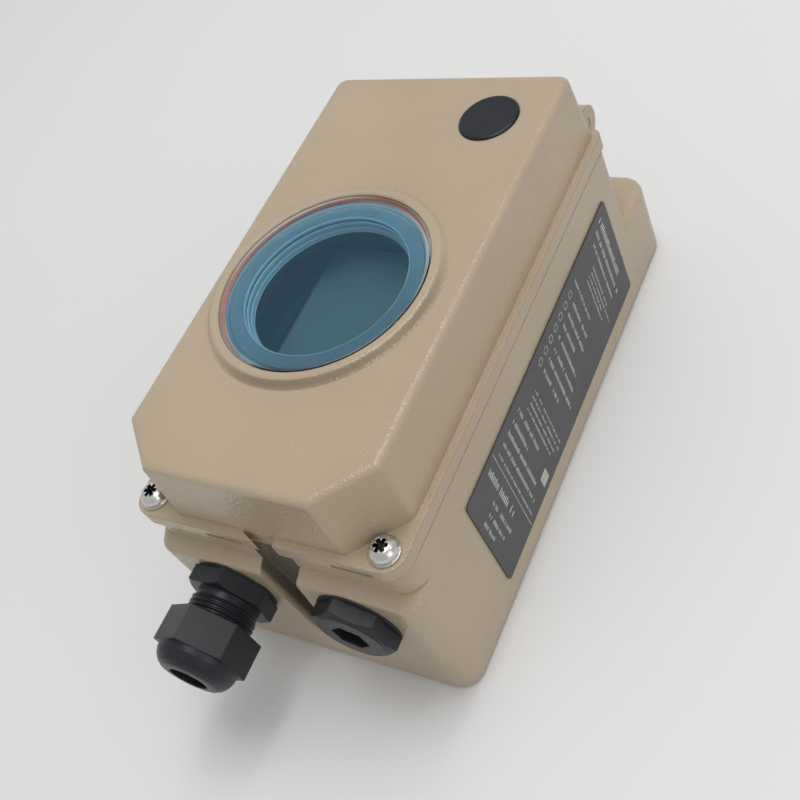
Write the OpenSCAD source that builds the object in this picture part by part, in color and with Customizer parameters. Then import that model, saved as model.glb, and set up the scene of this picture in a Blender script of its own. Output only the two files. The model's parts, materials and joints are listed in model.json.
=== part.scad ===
// Valve positioner lying on its mounting side, with the front cover upwards.
// +Y runs from the cable entries to the hinge end and +Z out of the front face.
// The origin is the middle of the four mounting posts, in the mounting plane.

/* [Front cover] */
// Width of the flat front face
face_w = 81.5; // [78:0.5:84]
// Length of the flat front face
face_l = 150; // [146:0.5:156]
// Height of the front face above the flange
cover_h = 22.5; // [21:0.5:26]
// Wall thickness of the cover
cover_wall = 3.5; // [3:0.1:4]
// How far the side walls lean out towards the flange
side_draft = 1.4; // [1:0.1:2.4]
// How far the end walls lean out towards the flange
end_draft = 0.8; // [0.4:0.1:1.2]
// Leg of the slanted corners at the cable end
corner_cut = 14; // [12:0.5:16]
// Rounding of the front face's edges
edge_r = 2; // [1.2:0.1:3.4]
// Plan radius of the corners at the hinge end
far_corner_r = 3.8; // [3:0.1:7]
// Thickness of the cover's flange
flange_t = 4.5; // [4:0.1:5.5]
// Width of the flange beside the side walls
flange_lip = 2.2; // [1.6:0.1:3]
// Width of the flange in front of the cable end wall
near_lip = 2.5; // [2:0.1:3.2]
// Width of the flange behind the hinge end wall
far_lip = 0.6; // [0.3:0.1:0.9]
// Plan radius of the flange's corners at the cable end
flange_corner_r = 6.5; // [5:0.1:8]
// Plan radius of the flange's corners at the hinge end
flange_far_r = 3.6; // [3:0.1:7]
// Width of the notch in the flange's front edge
notch_w = 11.2; // [8:0.1:13]
// Distance of the cover screws from the middle plane
screw_x = 38.3; // [37:0.1:38.8]
// Distance of the cover screws from the flange's front edge
screw_inset = 5.9; // [5.6:0.1:6.6]
// Height of the prying grooves under the flange's front edge
groove_h = 1.4; // [0.6:0.1:1.6]
// Length of the prying grooves
groove_l = 12.5; // [8:0.5:14]

/* [Window and badge] */
// Sideways place of the window
window_x = -2.6; // [-3.4:0.1:-1]
// Lengthwise place of the window
window_y = -8.8; // [-14:0.1:4]
// Radius of the window glass
glass_r = 31.6; // [29:0.1:32]
// Thickness of the window glass
glass_t = 3.5; // [3:0.1:4.6]
// Radius that the window can be looked through
sight_r = 24.6; // [22:0.1:25.4]
// Width of the raised ring around the glass
ring_w = 4.2; // [3.4:0.1:4.6]
// Height of the raised ring above the front face
ring_h = 1.8; // [1.4:0.1:2.4]
// Depth of the window collar inside the cover
collar_h = 6; // [4:0.5:7]
// Radius of the protective film
film_r = 30; // [27:0.1:30.8]
// Radius of the badge disc
badge_r = 9.1; // [7:0.1:10]
// Sideways place of the badge disc
badge_x = 21.6; // [18:0.1:24]
// Lengthwise place of the badge disc
badge_y = 56.3; // [50:0.1:58]

/* [Base] */
// Width of the base
base_w = 88.8; // [88:0.1:91]
// Height of the base from its rear rim to the parting plane
base_h = 60.7; // [58:0.1:66]
// Thickness of the base's side walls
base_wall = 5.4; // [4.6:0.1:6]
// Thickness of the wall that carries the cable entries
entry_wall = 9.8; // [9:0.1:11]
// How far the rim stays behind the flange's front edge
rim_in = 1.7; // [1:0.1:2.2]
// How far the ledge stands out in front of the rim
ledge_w = 4.2; // [3:0.1:5]
// Height of the rim above the ledge's front edge
ledge_drop = 11.1; // [9:0.1:12]
// How far the ledge rises from its front edge to the rim
ledge_rise = 1.6; // [0.6:0.1:2.4]
// Plan radius of the base's corners at the ledge
base_corner_r = 5.5; // [4:0.1:8.5]
// Plan radius of the base's corners at the rear rim
base_foot_r = 7; // [5:0.1:12]
// How far the flange overhangs the base at the hinge end
far_overhang = 1.9; // [1.6:0.1:3.4]
// Width of the slot between the cable entries
slot_w = 12.2; // [9:0.1:13]
// Width of that slot at its lower end
slot_foot_w = 7; // [3:0.5:8]
// Sideways place of the slot and the notch
slot_x = 0.35; // [-1:0.05:2]
// Depth of the slot
slot_depth = 5.2; // [4:0.1:5.4]
// Height of the slot's lower end above the mounting plane
slot_foot_z = 18; // [16:0.5:30]
// How far the foot reaches out at the hinge end
foot_reach = 20.5; // [10:0.5:24]
// Height of the foot's top above the mounting plane
foot_z = 28; // [24:0.5:42]
// Plan radius of the foot's corners
foot_corner_r = 8; // [7:0.1:11]
// Length of the rating plate
label_l = 112; // [90:1:116]
// Height of the rating plate
label_h = 40; // [30:0.5:42]
// Thickness of the rating plate
label_t = 0.5; // [0.3:0.1:0.8]
// Distance of the rating plate's near end from the front face's near edge
label_near = 26.3; // [22:0.1:28]
// Distance of the rating plate's upper edge below the parting plane
label_down = 11.9; // [10:0.1:14]

/* [Rear side] */
// Height of the mounting posts below the rear rim
pad_h = 0.3; // [0.2:0.1:2]
// Depth of the rear pockets from the rear rim
rear_depth = 16.7; // [16:0.1:18]
// Thickness of the floor between the rear pockets and the inside
floor_t = 4; // [3.5:0.1:5]
// Thickness of the ribs between the rear pockets
rib_t = 3; // [2.5:0.1:4]
// Crosswise spacing of the mounting posts
post_dx = 60; // [58:0.5:64]
// Lengthwise spacing of the mounting posts
post_dy = 120; // [118:0.5:124]
// Radius of a mounting post
post_r = 7.5; // [6.5:0.1:8]
// Radius of the threaded mounting holes
post_hole_r = 2.5; // [2:0.1:3.3]
// Radius of the threaded air ports
port_r = 5.7; // [4.3:0.1:6]
// Spacing of the two air ports
port_pitch = 22; // [21:0.5:23]
// Depth of an air port
port_depth = 13; // [10:0.5:14]
// Radius of the vent filter
vent_r = 6; // [5:0.1:7]

/* [Hinge] */
// Distance of the hinge axis behind the flange's rear edge
hinge_out = 2.6; // [2.2:0.1:3]
// Radius of the cover's hinge knuckles
knuckle_r = 5.6; // [5:0.1:6]
// Radius of the base's hinge knuckles
base_knuckle_r = 3.4; // [3:0.1:3.6]
// Radius of the hinge pins
pin_r = 1.6; // [1.3:0.05:1.8]
// Distance of the knuckles' outer ends from the middle plane
knuckle_x = 38.5; // [37:0.1:39]
// Length of one knuckle
knuckle_l = 11.3; // [9:0.1:12]

/* [Cable entries] */
// Spacing of the two entries
entry_pitch = 42.4; // [40:0.1:44]
// Height of the entries above the mounting plane
entry_z = 36.5; // [35:0.1:40]
// Thread radius of the entries
entry_r = 10; // [9:0.1:10.4]
// Thickness of the sealing washers
seal_t = 0.5; // [0.4:0.1:1.2]
// Width across the flats of the gland nut
gland_af = 24.5; // [24:0.1:27]
// Width across the flats of the gland's fixed hexagon
gland_body_af = 23.3; // [22.5:0.1:25]
// Thickness of the gland's fixed hexagon
gland_hex_t = 5.3; // [5:0.1:7]
// Bare thread between the hexagon and the nut
gland_gap = 7.5; // [6.5:0.1:8.5]
// Length of the gland nut
gland_nut_l = 16.6; // [15:0.1:19]
// How far the nut travels when it is tightened
gland_travel = 3; // [2:0.1:3.4]
// Radius of the hole in the gland nut
gland_hole_r = 5.8; // [5:0.1:6.2]
// Width across the flats of the blanking plug
plug_af = 22.3; // [21.5:0.1:25]
// Thickness of the blanking plug's head
plug_t = 5.3; // [4.5:0.1:6]
// Width across the flats of the plug's socket
plug_socket = 10; // [8:0.1:12]

/* [Inside] */
// Height of the display panel's top above the parting plane
panel_up = 8.5; // [7:0.1:10]
// Thickness of the panel
panel_t = 2.5; // [2:0.1:3]
// Width of the display
lcd_w = 44.5; // [36:0.5:46]
// Length of the display
lcd_l = 45; // [40:0.5:48]
// Sideways place of the display's middle
lcd_x = -0.25; // [-2:0.05:3]
// Lengthwise place of the display's middle
lcd_y = -2.5; // [-5:0.1:1]
// Depth of the circuit board's top below the parting plane
board_down = 3.4; // [3:0.1:6]
// Thickness of the circuit board
board_t = 1.6; // [1:0.1:2]
// Radius of the push and turn knob
knob_r = 8.5; // [7:0.1:9]
// Height of the knob
knob_h = 8; // [6:0.1:9]
// How far the knob can be pressed
knob_press = 1; // [0.6:0.1:1.2]
// Travel of the two slide switches
slide_travel = 4; // [3:0.1:5]
// Height of the air manifold
manifold_h = 20; // [16:0.5:22]

/* [Feedback lever] */
// Sideways place of the feedback shaft
shaft_x = -24; // [-26:0.5:-22]
// Lengthwise place of the feedback shaft
shaft_y = 5; // [3:0.5:7]
// Radius of the feedback shaft
shaft_r = 3; // [2.5:0.1:3.5]
// Length of the lever from the shaft to its last hole
lever_l = 50; // [48:0.5:52]
// Half width of the lever
lever_r = 6; // [5:0.1:6.5]
// Thickness of the lever
lever_t = 3; // [2.4:0.1:3.4]
// Distance of the follower pin from the shaft
pin_at = 35; // [30:0.5:40]
// Swing of the lever to each side
lever_swing = 30; // [20:1:32]

/* [Fits] */
// Radial play of turning and sliding pieces
play = 0.06; // [0.02:0.01:0.1]
// Gap between pieces that are fastened together
gap = 0.15; // [0.1:0.01:0.25]
// Room around pieces that move past each other
room = 0.5; // [0.4:0.05:0.8]

/* [Hidden] */
$fn = 64;
hull_fn = 32;
window_fn = 128;
over = 1;

// Heights
rim_z = pad_h;
pocket_z = rim_z + rear_depth;
floor_z = pocket_z + floor_t;
part_z = pad_h + base_h;
ledge_z = part_z - ledge_drop;
ledge_top = ledge_z + ledge_rise;
flange_z = part_z + flange_t;
face_z = flange_z + cover_h;
roof_z = face_z - cover_wall;
panel_z = part_z + panel_up;
board_z = part_z - board_down;

// Plan of the cover
face_near = -face_l / 2;
face_far = face_l / 2;
foot_half = face_w / 2 + side_draft;
foot_near = face_near - end_draft;
foot_far = face_far + end_draft;
flange_half = foot_half + flange_lip;
flange_near = foot_near - near_lip;
flange_far = foot_far + far_lip;
inner_half = face_w / 2 - cover_wall;
inner_near = face_near + cover_wall;
inner_far = face_far - cover_wall;
screw_y = flange_near + screw_inset;
notch_lean = [4.9, 0.6];
groove_at = [-12, 29.3];
groove_up = 0.9;
groove_d = 2;

// Plan of the base
base_half = base_w / 2;
rim_near = flange_near + rim_in;
base_near = rim_near - ledge_w;
base_far = flange_far - far_overhang;
cavity_half = base_half - base_wall;
cavity_near = base_near + entry_wall;
cavity_far = base_far - base_wall;
cavity_cut = corner_cut + 2;
foot_far_y = base_far + foot_reach;
foot_bevel = 1.2;
label_r = 1.5;
foot_edge = 2.4;
ledge_edge = 1.6;
hull_t = 0.5;

// Window
ring_z = face_z + ring_h;
glass_sink = 0.4;
glass_z = ring_z - glass_sink - glass_t;
gasket_t = 0.5;
gasket_w = 2.4;
seat_z = glass_z - gasket_t;
glass_bevel = 0.4;
ring_flare = [0.6, 0.25];
ring_slope = 1.2;
ring_top = 0.7;
ring_soft = 0.3;
collar_in = 0.5;
film_t = 0.2;
badge_t = 1.2;
badge_sink = 0.5;
badge_edge = [0.5, 0.3];

// Cover screws
screw_r = 2.05;
screw_thread_r = 2.55;
screw_head_r = 4;
screw_head_h = 3;
screw_bite = 7;
screw_room = 2;
head_profile = [[1, 0.24], [0.94, 0.54], [0.8, 0.8], [0.6, 0.95], [0.45, 1]];
star_l = 4.2;
star_w = 1.2;
star_d = 1.8;
washer_r = 4.5;
washer_t = 0.9;
washer_play = 0.3;

// Sealing cord between cover and base
cord_w = 2;
cord_h = 2;
cord_in = 1.4;

// Hinge
hinge_y = flange_far + hinge_out;
hinge_z = flange_z - 0.3;
knuckle_in = knuckle_x - knuckle_l;
knuckle_gap = 0.3;
base_knuckle_x = knuckle_in - knuckle_gap;
base_knuckle_in = base_knuckle_x - knuckle_l;
pin_end = 0.1;
knuckle_bay = 1.2;
arm_low = 18;
arm_lean = 0.5;
arm_tip = 5;
arm_top = 0.4;

// Rear side
recess_half = (lever_l + lever_r) * sin(lever_swing) + lever_r + 2;
recess_near = shaft_y - recess_half;
recess_far = shaft_y + recess_half;
post_y = post_dy / 2;
port_y = post_y + 1;
vent_y = -post_y + 4;
vent_t = 3;
vent_lip = 2.5;
vent_wall = 2.5;
vent_seat = 2;
port_wall = 3.5;
slot_bevel = 1.2;
rim_sink = 6;
passage_r = 2.2;
rear_wall = 5;
rear_corner_r = 4;

// Cable entries
entry_x = entry_pitch / 2;
thread_r = entry_r - gap;
gland_y = base_near - seal_t;
gland_hex_y = gland_y - gland_hex_t;
gland_nut_y = gland_hex_y - gland_gap;
gland_end = gland_nut_y - gland_nut_l;
neck_r = entry_r - 0.5;
neck_thread = 0.7;
nut_bore_r = neck_r + neck_thread + 0.1;
neck_bore_r = entry_r - 1.9;
gland_bore_r = gland_hole_r + 0.6;
gland_seal_r = neck_bore_r - 0.1;
gland_seal_near = gland_nut_y - gland_nut_l * 0.46;
neck_end = gland_seal_near + gland_travel + 0.8;
gland_seal_far = gland_nut_y - 0.2;
gland_dome_l = gland_nut_l * 0.36;
gland_step_y = gland_hex_y + over;
seal_bore_r = gland_hole_r - 0.5;
dome_in = 0.1;
dome_lip = 1.4;
dome_steps = 5;
washer_out = entry_r + 2.6;
gland_hex_turn = 15;
gland_nut_turn = 30;
plug_turn = 40;
hex_bevel = 0.8;
plug_bevel = 1.6;
plug_y = base_near - seal_t;
plug_front = plug_y - plug_t;
plug_socket_d = plug_t + 2;

// Inside
panel_half = inner_half - 3.5;
panel_near = -56;
panel_far = inner_far - 5;
pillar_x = panel_half - 4.2;
pillar_y = [panel_near + 6, panel_far - 8];
pillar_r = 4;
board_half = panel_half + 1;
skirt_t = 2;
post_tube_r = 3.6;
m3_r = 1.5;
m3_hole_r = m3_r + gap;
m3_head_r = 2.75;
m3_head_h = 1.8;
m3_bite = 8;
drive_w = 0.8;
panel_corner_r = 3;
bay_room = 1.5;
head_sink = 0.2;
head_slot = 1;
lcd_t = 1.6;
lcd_sink = 0.6;
lcd_rim = 2;
lcd_frame_gap = 0.5;
lcd_frame_floor = 3;
terminal_x = 22;
terminal_y = [panel_near - 1, panel_near + 11];
terminal_h = 10.5;
terminal_ways = 6;
terminal_pitch = 2 * terminal_x / terminal_ways;
terminal_step = 3;
funnel_half = 2;
funnel_d = 6;
funnel_z = [1.5, 5];
clamp_y = terminal_y[0] + 5;
clamp_z = board_z + 5.5;
clamp_r = 2;
clamp_h = 3.4;
clamp_slot = 1.2;
knob_x = 18;
knob_y = 42;
encoder_w = 13;
encoder_h = 7;
stem_r = 3;
stem_foot = 4.5;
knob_gap = knob_press + room;
knob_z = panel_z + knob_gap;
knob_wall = 2.5;
knob_bevel = 1;
finger_r = 2;
finger_out = 1.2;
finger_z = 2;
stem_gap = 0.1;
stem_hole = 1.2;
stem_tube = 1;
switch_x = -17;
switch_y = 35;
restrictor_y = 49;
switch_l = 15;
switch_w = 8;
tab_l = 4;
tab_w = 3;
tab_up = 2.2;
guide_z = 3;
manifold_half = 22;
manifold_y = [recess_far - 2, base_far - base_wall - 2];
manifold_z = floor_z + manifold_h;
manifold_mid = (manifold_y[0] + manifold_y[1]) / 2;
manifold_corner_r = 3;
manifold_edge = 3;
manifold_screw_y = [manifold_y[0] + manifold_edge, manifold_y[1] - manifold_edge];
cap_head_h = 3;
cap_key_r = 1.4;
cap_key_d = 1.6;
seal_room = 0.1;
converter_x = -11;
converter_r = 9.6;
converter_step = 1;
converter_foot_h = 2;
booster_x = 11.5;
booster_r = 9.6;
booster_groove = 0.8;
booster_cap_r = 6;
booster_drop = 2;
port_seal_in = 0.3;
port_seal_w = 1.9;
port_seal_t = 1.3;
unit_top = board_z - board_t - 0.8;

// Feedback shaft, measured up from the mounting plane
shaft_low = 2.2;
nut_h = 3.4;
nut_af = 10;
spring_t = 1.2;
lever_nut_z = shaft_low + 0.6;
spring_z = lever_nut_z + nut_h;
lever_z = spring_z + spring_t;
collar_z = lever_z + lever_t;
collar_t = 1.4;
collar_r = shaft_r + 2;
bush_z = collar_z + collar_t + 0.1;
bush_flange_t = 1;
bush_flange_r = shaft_r + 4.4;
bush_r = shaft_r + 2;
boss_r = bush_r + 3;
boss_low = bush_z + bush_flange_t;
boss_top = floor_z + 6;
ring_t = 1;
ring_up = 0.4;
ring_groove = 0.5;
ring_play = 0.05;
ring_out = 2;
ring_gap = 2.4;
shaft_top = boss_top + 3;
magnet_r = 3.6;
magnet_h = 3;
sensor_in = 1;
sensor_end = 4;
sensor_gap = 2;
sensor_z = shaft_top + magnet_h + sensor_gap;
sensor_t = 1.4;
bridge_t = 2;
bridge_w = 12;
bridge_half = 17;
bridge_foot = 5;
follower_r = 2.5;
follower_low = 0.8;
follower_shank_r = 1.9;
follower_collar = [1, 1.5];
follower_edge = 0.4;
follower_end = 3.2;
pin_step = 10;
hub_out = 2;
pin_nut_af = 7;
pin_nut_h = 2.6;
spring_in = 1.2;
spring_out = 0.6;
spring_sheet = 0.6;
snug = gap / 3;

// Inset of a 45 degree corner cut when its outline moves in by d
function cut_in(c, d) = c - d * (2 - sqrt(2));

// Centres of the six corner rounds of an outline with two slanted corners
function corner_rounds(half, near, far, cut, r, r_far) = [
    for (s = [-1, 1]) [s * (half - r_far), far - r_far, r_far],
    for (s = [-1, 1]) [s * (half - r), near + r + cut_in(cut, r), r],
    for (s = [-1, 1]) [s * (half - r - cut_in(cut, r)), near + r, r]
];

// Outline with two slanted corners at the cable end
module cut_outline(half, near, far, cut) {
    polygon([[half, far], [-half, far], [-half, near + cut], [-half + cut, near],
        [half - cut, near], [half, near + cut]]);
}

// Rectangle with round corners, of one radius at each end
module round_outline(half, near, far, r_near, r_far) {
    translate([-half, near + r_near])
        square([2 * half, far - near - r_near - r_far]);
    translate([-half + r_near, near])
        square([2 * (half - r_near), far - near - r_far]);
    translate([-half + r_far, near + r_near])
        square([2 * (half - r_far), far - near - r_near]);
    for (s = [-1, 1]) {
        translate([s * (half - r_near), near + r_near]) circle(r_near);
        translate([s * (half - r_far), far - r_far]) circle(r_far);
    }
}

// Box with round upright edges, from one corner to the other
module round_box(a, b, r) {
    translate([(a[0] + b[0]) / 2, 0, a[2]])
        linear_extrude(b[2] - a[2])
            round_outline((b[0] - a[0]) / 2, a[1], b[1], r, r);
}

// Box from one corner to the other
module span_box(a, b) {
    translate(a) cube(b - a);
}

// Disc whose top edge is rounded, as the corner of a hull
module soft_disc(x, y, z, r, edge) {
    arc = [for (i = [0:4]) [r - edge + edge * cos(i * 22.5), -edge + edge * sin(i * 22.5)]];
    translate([x, y, z])
        rotate_extrude($fn = hull_fn)
            polygon(concat([[0, -edge - hull_t], [r, -edge - hull_t]], arc, [[0, 0]]));
}

// Thin disc, as the foot of a hull
module foot_disc(x, y, z, r) {
    translate([x, y, z]) cylinder(r = r, h = hull_t, $fn = hull_fn);
}

// Thin disc on the rear rim with its lower edge bevelled, as the foot of a hull
module rim_disc(x, y, r) {
    top = foot_bevel + hull_t;
    translate([x, y, rim_z]) rotate_extrude($fn = hull_fn)
        polygon([[0, 0], [r - foot_bevel, 0], [r, foot_bevel], [r, top], [0, top]]);
}

// Cylinder along +Y from y0 to y1
module y_bar(x, z, y0, y1, r) {
    translate([x, y1, z]) rotate([90, 0, 0]) cylinder(r = r, h = y1 - y0);
}

// Cylinder along +X from x0 to x1
module x_bar(y, z, x0, x1, r) {
    translate([x0, y, z]) rotate([0, 90, 0]) cylinder(r = r, h = x1 - x0);
}

// Hexagonal bar along +Y with its corners turned off towards -Y
module hex_bar(x, z, y0, y1, af, bevel, turn) {
    corner_r = af / sqrt(3);
    translate([x, y1, z]) rotate([90, 0, 0]) intersection() {
        rotate(turn) cylinder(r = corner_r, h = y1 - y0, $fn = 6);
        union() {
            cylinder(r = corner_r + 0.1, h = y1 - y0 - bevel);
            translate([0, 0, y1 - y0 - bevel])
                cylinder(r1 = corner_r + 0.1, r2 = corner_r - 1.8 * bevel, h = bevel);
        }
    }
}

// Washer along +Y
module y_washer(x, y0, y1, r_in, r_out) {
    difference() {
        y_bar(x, entry_z, y0, y1, r_out);
        y_bar(x, entry_z, y0 - over, y1 + over, r_in);
    }
}

// Ring about +Z
module z_ring(x, y, z, r_in, r_out, h) {
    translate([x, y, z]) rotate_extrude()
        translate([r_in, 0]) square([r_out - r_in, h]);
}

// The walls of the cover, rounded along the edges of the face
module cover_block() {
    top = corner_rounds(face_w / 2, face_near, face_far, corner_cut, edge_r, far_corner_r);
    foot = corner_rounds(foot_half, foot_near, foot_far, corner_cut, edge_r, far_corner_r);
    hull() {
        for (c = top) soft_disc(c[0], c[1], face_z, c[2], edge_r);
        for (c = foot) foot_disc(c[0], c[1], part_z + over, c[2]);
    }
}

module window_ring() {
    outer = glass_r + ring_w;
    inner = glass_r + gap;
    translate([window_x, window_y, face_z]) rotate_extrude($fn = window_fn)
        polygon([[inner, -over], [outer + ring_flare[0], -over], [outer + ring_flare[0], 0], [outer, ring_flare[1]],
            [outer - ring_slope, ring_h - ring_soft], [outer - ring_slope - ring_top, ring_h],
            [inner + ring_soft, ring_h], [inner, ring_h - ring_soft]]);
}

// Hollow of the cover around the window collar
module cover_hollow() {
    difference() {
        translate([0, 0, part_z - over]) linear_extrude(roof_z - part_z + over)
            cut_outline(inner_half, inner_near, inner_far, cut_in(corner_cut, cover_wall));
        translate([window_x, window_y, roof_z - collar_h])
            cylinder(r = glass_r + cover_wall - collar_in, h = collar_h + over);
    }
}

// What the glass, its gasket and the view need
module window_cuts() {
    translate([window_x, window_y, 0]) {
        translate([0, 0, seat_z])
            cylinder(r = glass_r + gap, h = glass_t + gasket_t + ring_h + over, $fn = window_fn);
        translate([0, 0, part_z]) cylinder(r = sight_r, h = face_z - part_z, $fn = window_fn);
    }
}

// Room in the cover for the base's knuckles, and the pin's bores
module cover_hinge_cuts() {
    for (s = [-1, 1]) {
        far_x = s * knuckle_in;
        near_x = s * (base_knuckle_in - room);
        x_bar(hinge_y, hinge_z, min(far_x, near_x), max(far_x, near_x), base_knuckle_r + room);
        span_box([min(far_x, near_x), flange_far - knuckle_bay, part_z - over],
            [max(far_x, near_x), hinge_y, hinge_z]);
        x_bar(hinge_y, hinge_z, min(s * (knuckle_in - over), s * (knuckle_x + over)),
            max(s * (knuckle_in - over), s * (knuckle_x + over)), pin_r + play);
    }
}

// Notch over the slot, with one wall slanted
module flange_notch() {
    half = notch_w / 2;
    translate([slot_x, 0, part_z - over]) linear_extrude(flange_t + 2 * over)
        polygon([[-half + notch_lean[0], flange_near - over], [-half + notch_lean[0], flange_near],
            [-half, foot_near], [half - notch_lean[1], foot_near], [half, flange_near],
            [half, flange_near - over]]);
}

module front_cover() {
    color([0.66, 0.60, 0.50]) difference() {
        union() {
            cover_block();
            translate([0, 0, part_z]) linear_extrude(flange_t)
                round_outline(flange_half, flange_near, flange_far, flange_corner_r, flange_far_r);
            window_ring();
            for (s = [-1, 1])
                x_bar(hinge_y, hinge_z, min(s * knuckle_in, s * knuckle_x),
                    max(s * knuckle_in, s * knuckle_x), knuckle_r);
        }
        cover_hollow();
        window_cuts();
        cover_hinge_cuts();
        translate([badge_x, badge_y, face_z - badge_sink]) cylinder(r = badge_r + gap, h = badge_t + over);
        for (s = [-1, 1]) translate([s * screw_x, screw_y, part_z - over])
            cylinder(r = screw_thread_r + gap, h = flange_t + 2 * over);
        for (x = groove_at)
            span_box([slot_x + x - groove_l / 2, flange_near - over, part_z + groove_up],
                [slot_x + x + groove_l / 2, flange_near + groove_d, part_z + groove_up + groove_h]);
        flange_notch();
    }
}

module cover_gasket() {
    color([0.12, 0.12, 0.13]) translate([0, 0, part_z - cord_h]) linear_extrude(cord_h) difference() {
        cord_outline(cord_in + cord_w);
        cord_outline(cord_in);
    }
}

// Outline of the cavity moved out by d
module cord_outline(d) {
    cut_outline(cavity_half + d, cavity_near - d, cavity_far + d, cut_in(cavity_cut, -d));
}

module window_gasket() {
    color([0.62, 0.28, 0.26])
        z_ring(window_x, window_y, seat_z, glass_r - gasket_w, glass_r, gasket_t);
}

module window_glass() {
    color([0.75, 0.85, 0.88, 0.4]) translate([window_x, window_y, glass_z]) rotate_extrude($fn = window_fn)
        polygon([[0, 0], [glass_r, 0], [glass_r, glass_t - glass_bevel], [glass_r - glass_bevel, glass_t],
            [0, glass_t]]);
}

module protective_film() {
    color([0.28, 0.50, 0.62, 0.6]) translate([window_x, window_y, glass_z + glass_t])
        cylinder(r = film_r, h = film_t, $fn = window_fn);
}

module badge_disc() {
    color([0.15, 0.17, 0.20]) translate([badge_x, badge_y, face_z - badge_sink]) rotate_extrude()
        polygon([[0, 0], [badge_r, 0], [badge_r, badge_t - badge_edge[1]], [badge_r - badge_edge[0], badge_t],
            [0, badge_t]]);
}

module cover_screws() {
    head = [for (p = head_profile) [screw_head_r * p[0], screw_head_h * p[1]]];
    tip = -flange_t - washer_t - screw_bite;
    color([0.75, 0.75, 0.76]) for (s = [-1, 1])
    translate([s * screw_x, screw_y, flange_z + washer_t]) difference() {
        rotate_extrude()
            polygon(concat([[0, tip], [screw_r, tip], [screw_r, 0], [screw_head_r, 0]], head,
                [[0, screw_head_h]]));
        for (a = [15, 75, 135]) rotate(a)
            translate([-star_l / 2, -star_w / 2, screw_head_h - star_d])
                cube([star_l, star_w, star_d + over]);
    }
}

module screw_washers() {
    color([0.70, 0.70, 0.72]) for (s = [-1, 1])
        z_ring(s * screw_x, screw_y, flange_z, screw_r + washer_play, washer_r, washer_t);
}

module hinge_pins() {
    color([0.70, 0.70, 0.72]) for (s = [-1, 1])
        x_bar(hinge_y, hinge_z, min(s * (base_knuckle_in + pin_end), s * (knuckle_x - pin_end)),
            max(s * (base_knuckle_in + pin_end), s * (knuckle_x - pin_end)), pin_r);
}

// Lower body, with its corners spreading towards the rear rim
module base_block() {
    hull() for (s = [-1, 1]) {
        near_x = s * (base_half - base_corner_r);
        far_x = s * (base_half - far_corner_r);
        soft_disc(near_x, base_near + base_corner_r, ledge_z, base_corner_r, ledge_edge);
        foot_disc(near_x, rim_near + base_corner_r, ledge_top - hull_t, base_corner_r);
        foot_disc(far_x, base_far - far_corner_r, ledge_top - hull_t, far_corner_r);
        rim_disc(far_x, base_far - far_corner_r, far_corner_r);
        rim_disc(s * (base_half - base_foot_r), base_near + base_foot_r, base_foot_r);
    }
}

// Foot that carries the rear side past the hinge end
module base_foot() {
    hull() for (s = [-1, 1]) {
        x = s * (base_half - foot_corner_r);
        for (y = [foot_far_y - foot_corner_r, base_far - 2 * foot_corner_r]) {
            soft_disc(x, y, foot_z, foot_corner_r, foot_edge);
            rim_disc(x, y, foot_corner_r);
        }
    }
}

// Arm that carries one of the base's knuckles
module base_knuckle(s) {
    x0 = min(s * base_knuckle_x, s * (base_knuckle_x - knuckle_l));
    x_bar(hinge_y, hinge_z, x0, x0 + knuckle_l, base_knuckle_r);
    translate([x0, 0, 0]) rotate([90, 0, 90]) linear_extrude(knuckle_l)
        polygon([[base_far - over, part_z - arm_low], [base_far + arm_lean, part_z - arm_low],
            [hinge_y + base_knuckle_r, hinge_z - arm_tip], [hinge_y + base_knuckle_r, hinge_z],
            [hinge_y - base_knuckle_r, hinge_z], [flange_far, part_z - arm_top],
            [base_far - over, part_z - arm_top]]);
}

// Space for the electronics, around the pillars and the shaft's boss
module base_cavity() {
    difference() {
        translate([0, 0, floor_z]) linear_extrude(base_h)
            cut_outline(cavity_half, cavity_near, cavity_far, cavity_cut);
        for (s = [-1, 1], y = pillar_y)
            translate([s * pillar_x, y, floor_z - over])
                cylinder(r = pillar_r, h = board_z - board_t - floor_z + over);
        translate([shaft_x, shaft_y, floor_z - over]) cylinder(r = boss_r, h = boss_top - floor_z + over);
    }
}

// The three pockets of the rear side, around the posts, ports and vent
module rear_pockets() {
    half = base_half - rear_wall;
    low = rim_z - over;
    difference() {
        union() {
            round_box([-half, base_near + rear_wall, low], [half, recess_near - rib_t, pocket_z], rear_corner_r);
            round_box([-half, recess_near, low], [half, recess_far, pocket_z], rear_corner_r);
            round_box([-half, recess_far + rib_t, low], [half, foot_far_y - rear_wall, pocket_z], rear_corner_r);
        }
        for (s = [-1, 1]) {
            for (y = [-post_y, post_y])
                translate([s * post_dx / 2, y, 0]) cylinder(r = post_r, h = pocket_z + over);
            translate([s * port_pitch / 2, port_y, 0]) cylinder(r = port_r + port_wall, h = pocket_z + over);
        }
        translate([0, vent_y, pocket_z - vent_t - vent_lip])
            cylinder(r = vent_r + vent_wall, h = vent_t + vent_lip + over);
        translate([shaft_x, shaft_y, boss_low]) cylinder(r = boss_r, h = pocket_z - boss_low + over);
    }
}

// Slot between the cable entries, narrower towards its lower end
module entry_slot() {
    half = slot_w / 2;
    foot = slot_foot_w / 2;
    translate([slot_x, base_near + slot_depth, 0]) rotate([90, 0, 0]) linear_extrude(slot_depth + over)
        polygon([[-half, part_z + over], [-half, ledge_z], [-foot, slot_foot_z + slot_bevel],
            [-foot + slot_bevel, slot_foot_z], [foot - slot_bevel, slot_foot_z],
            [foot, slot_foot_z + slot_bevel], [half, ledge_z], [half, part_z + over]]);
}

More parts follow.
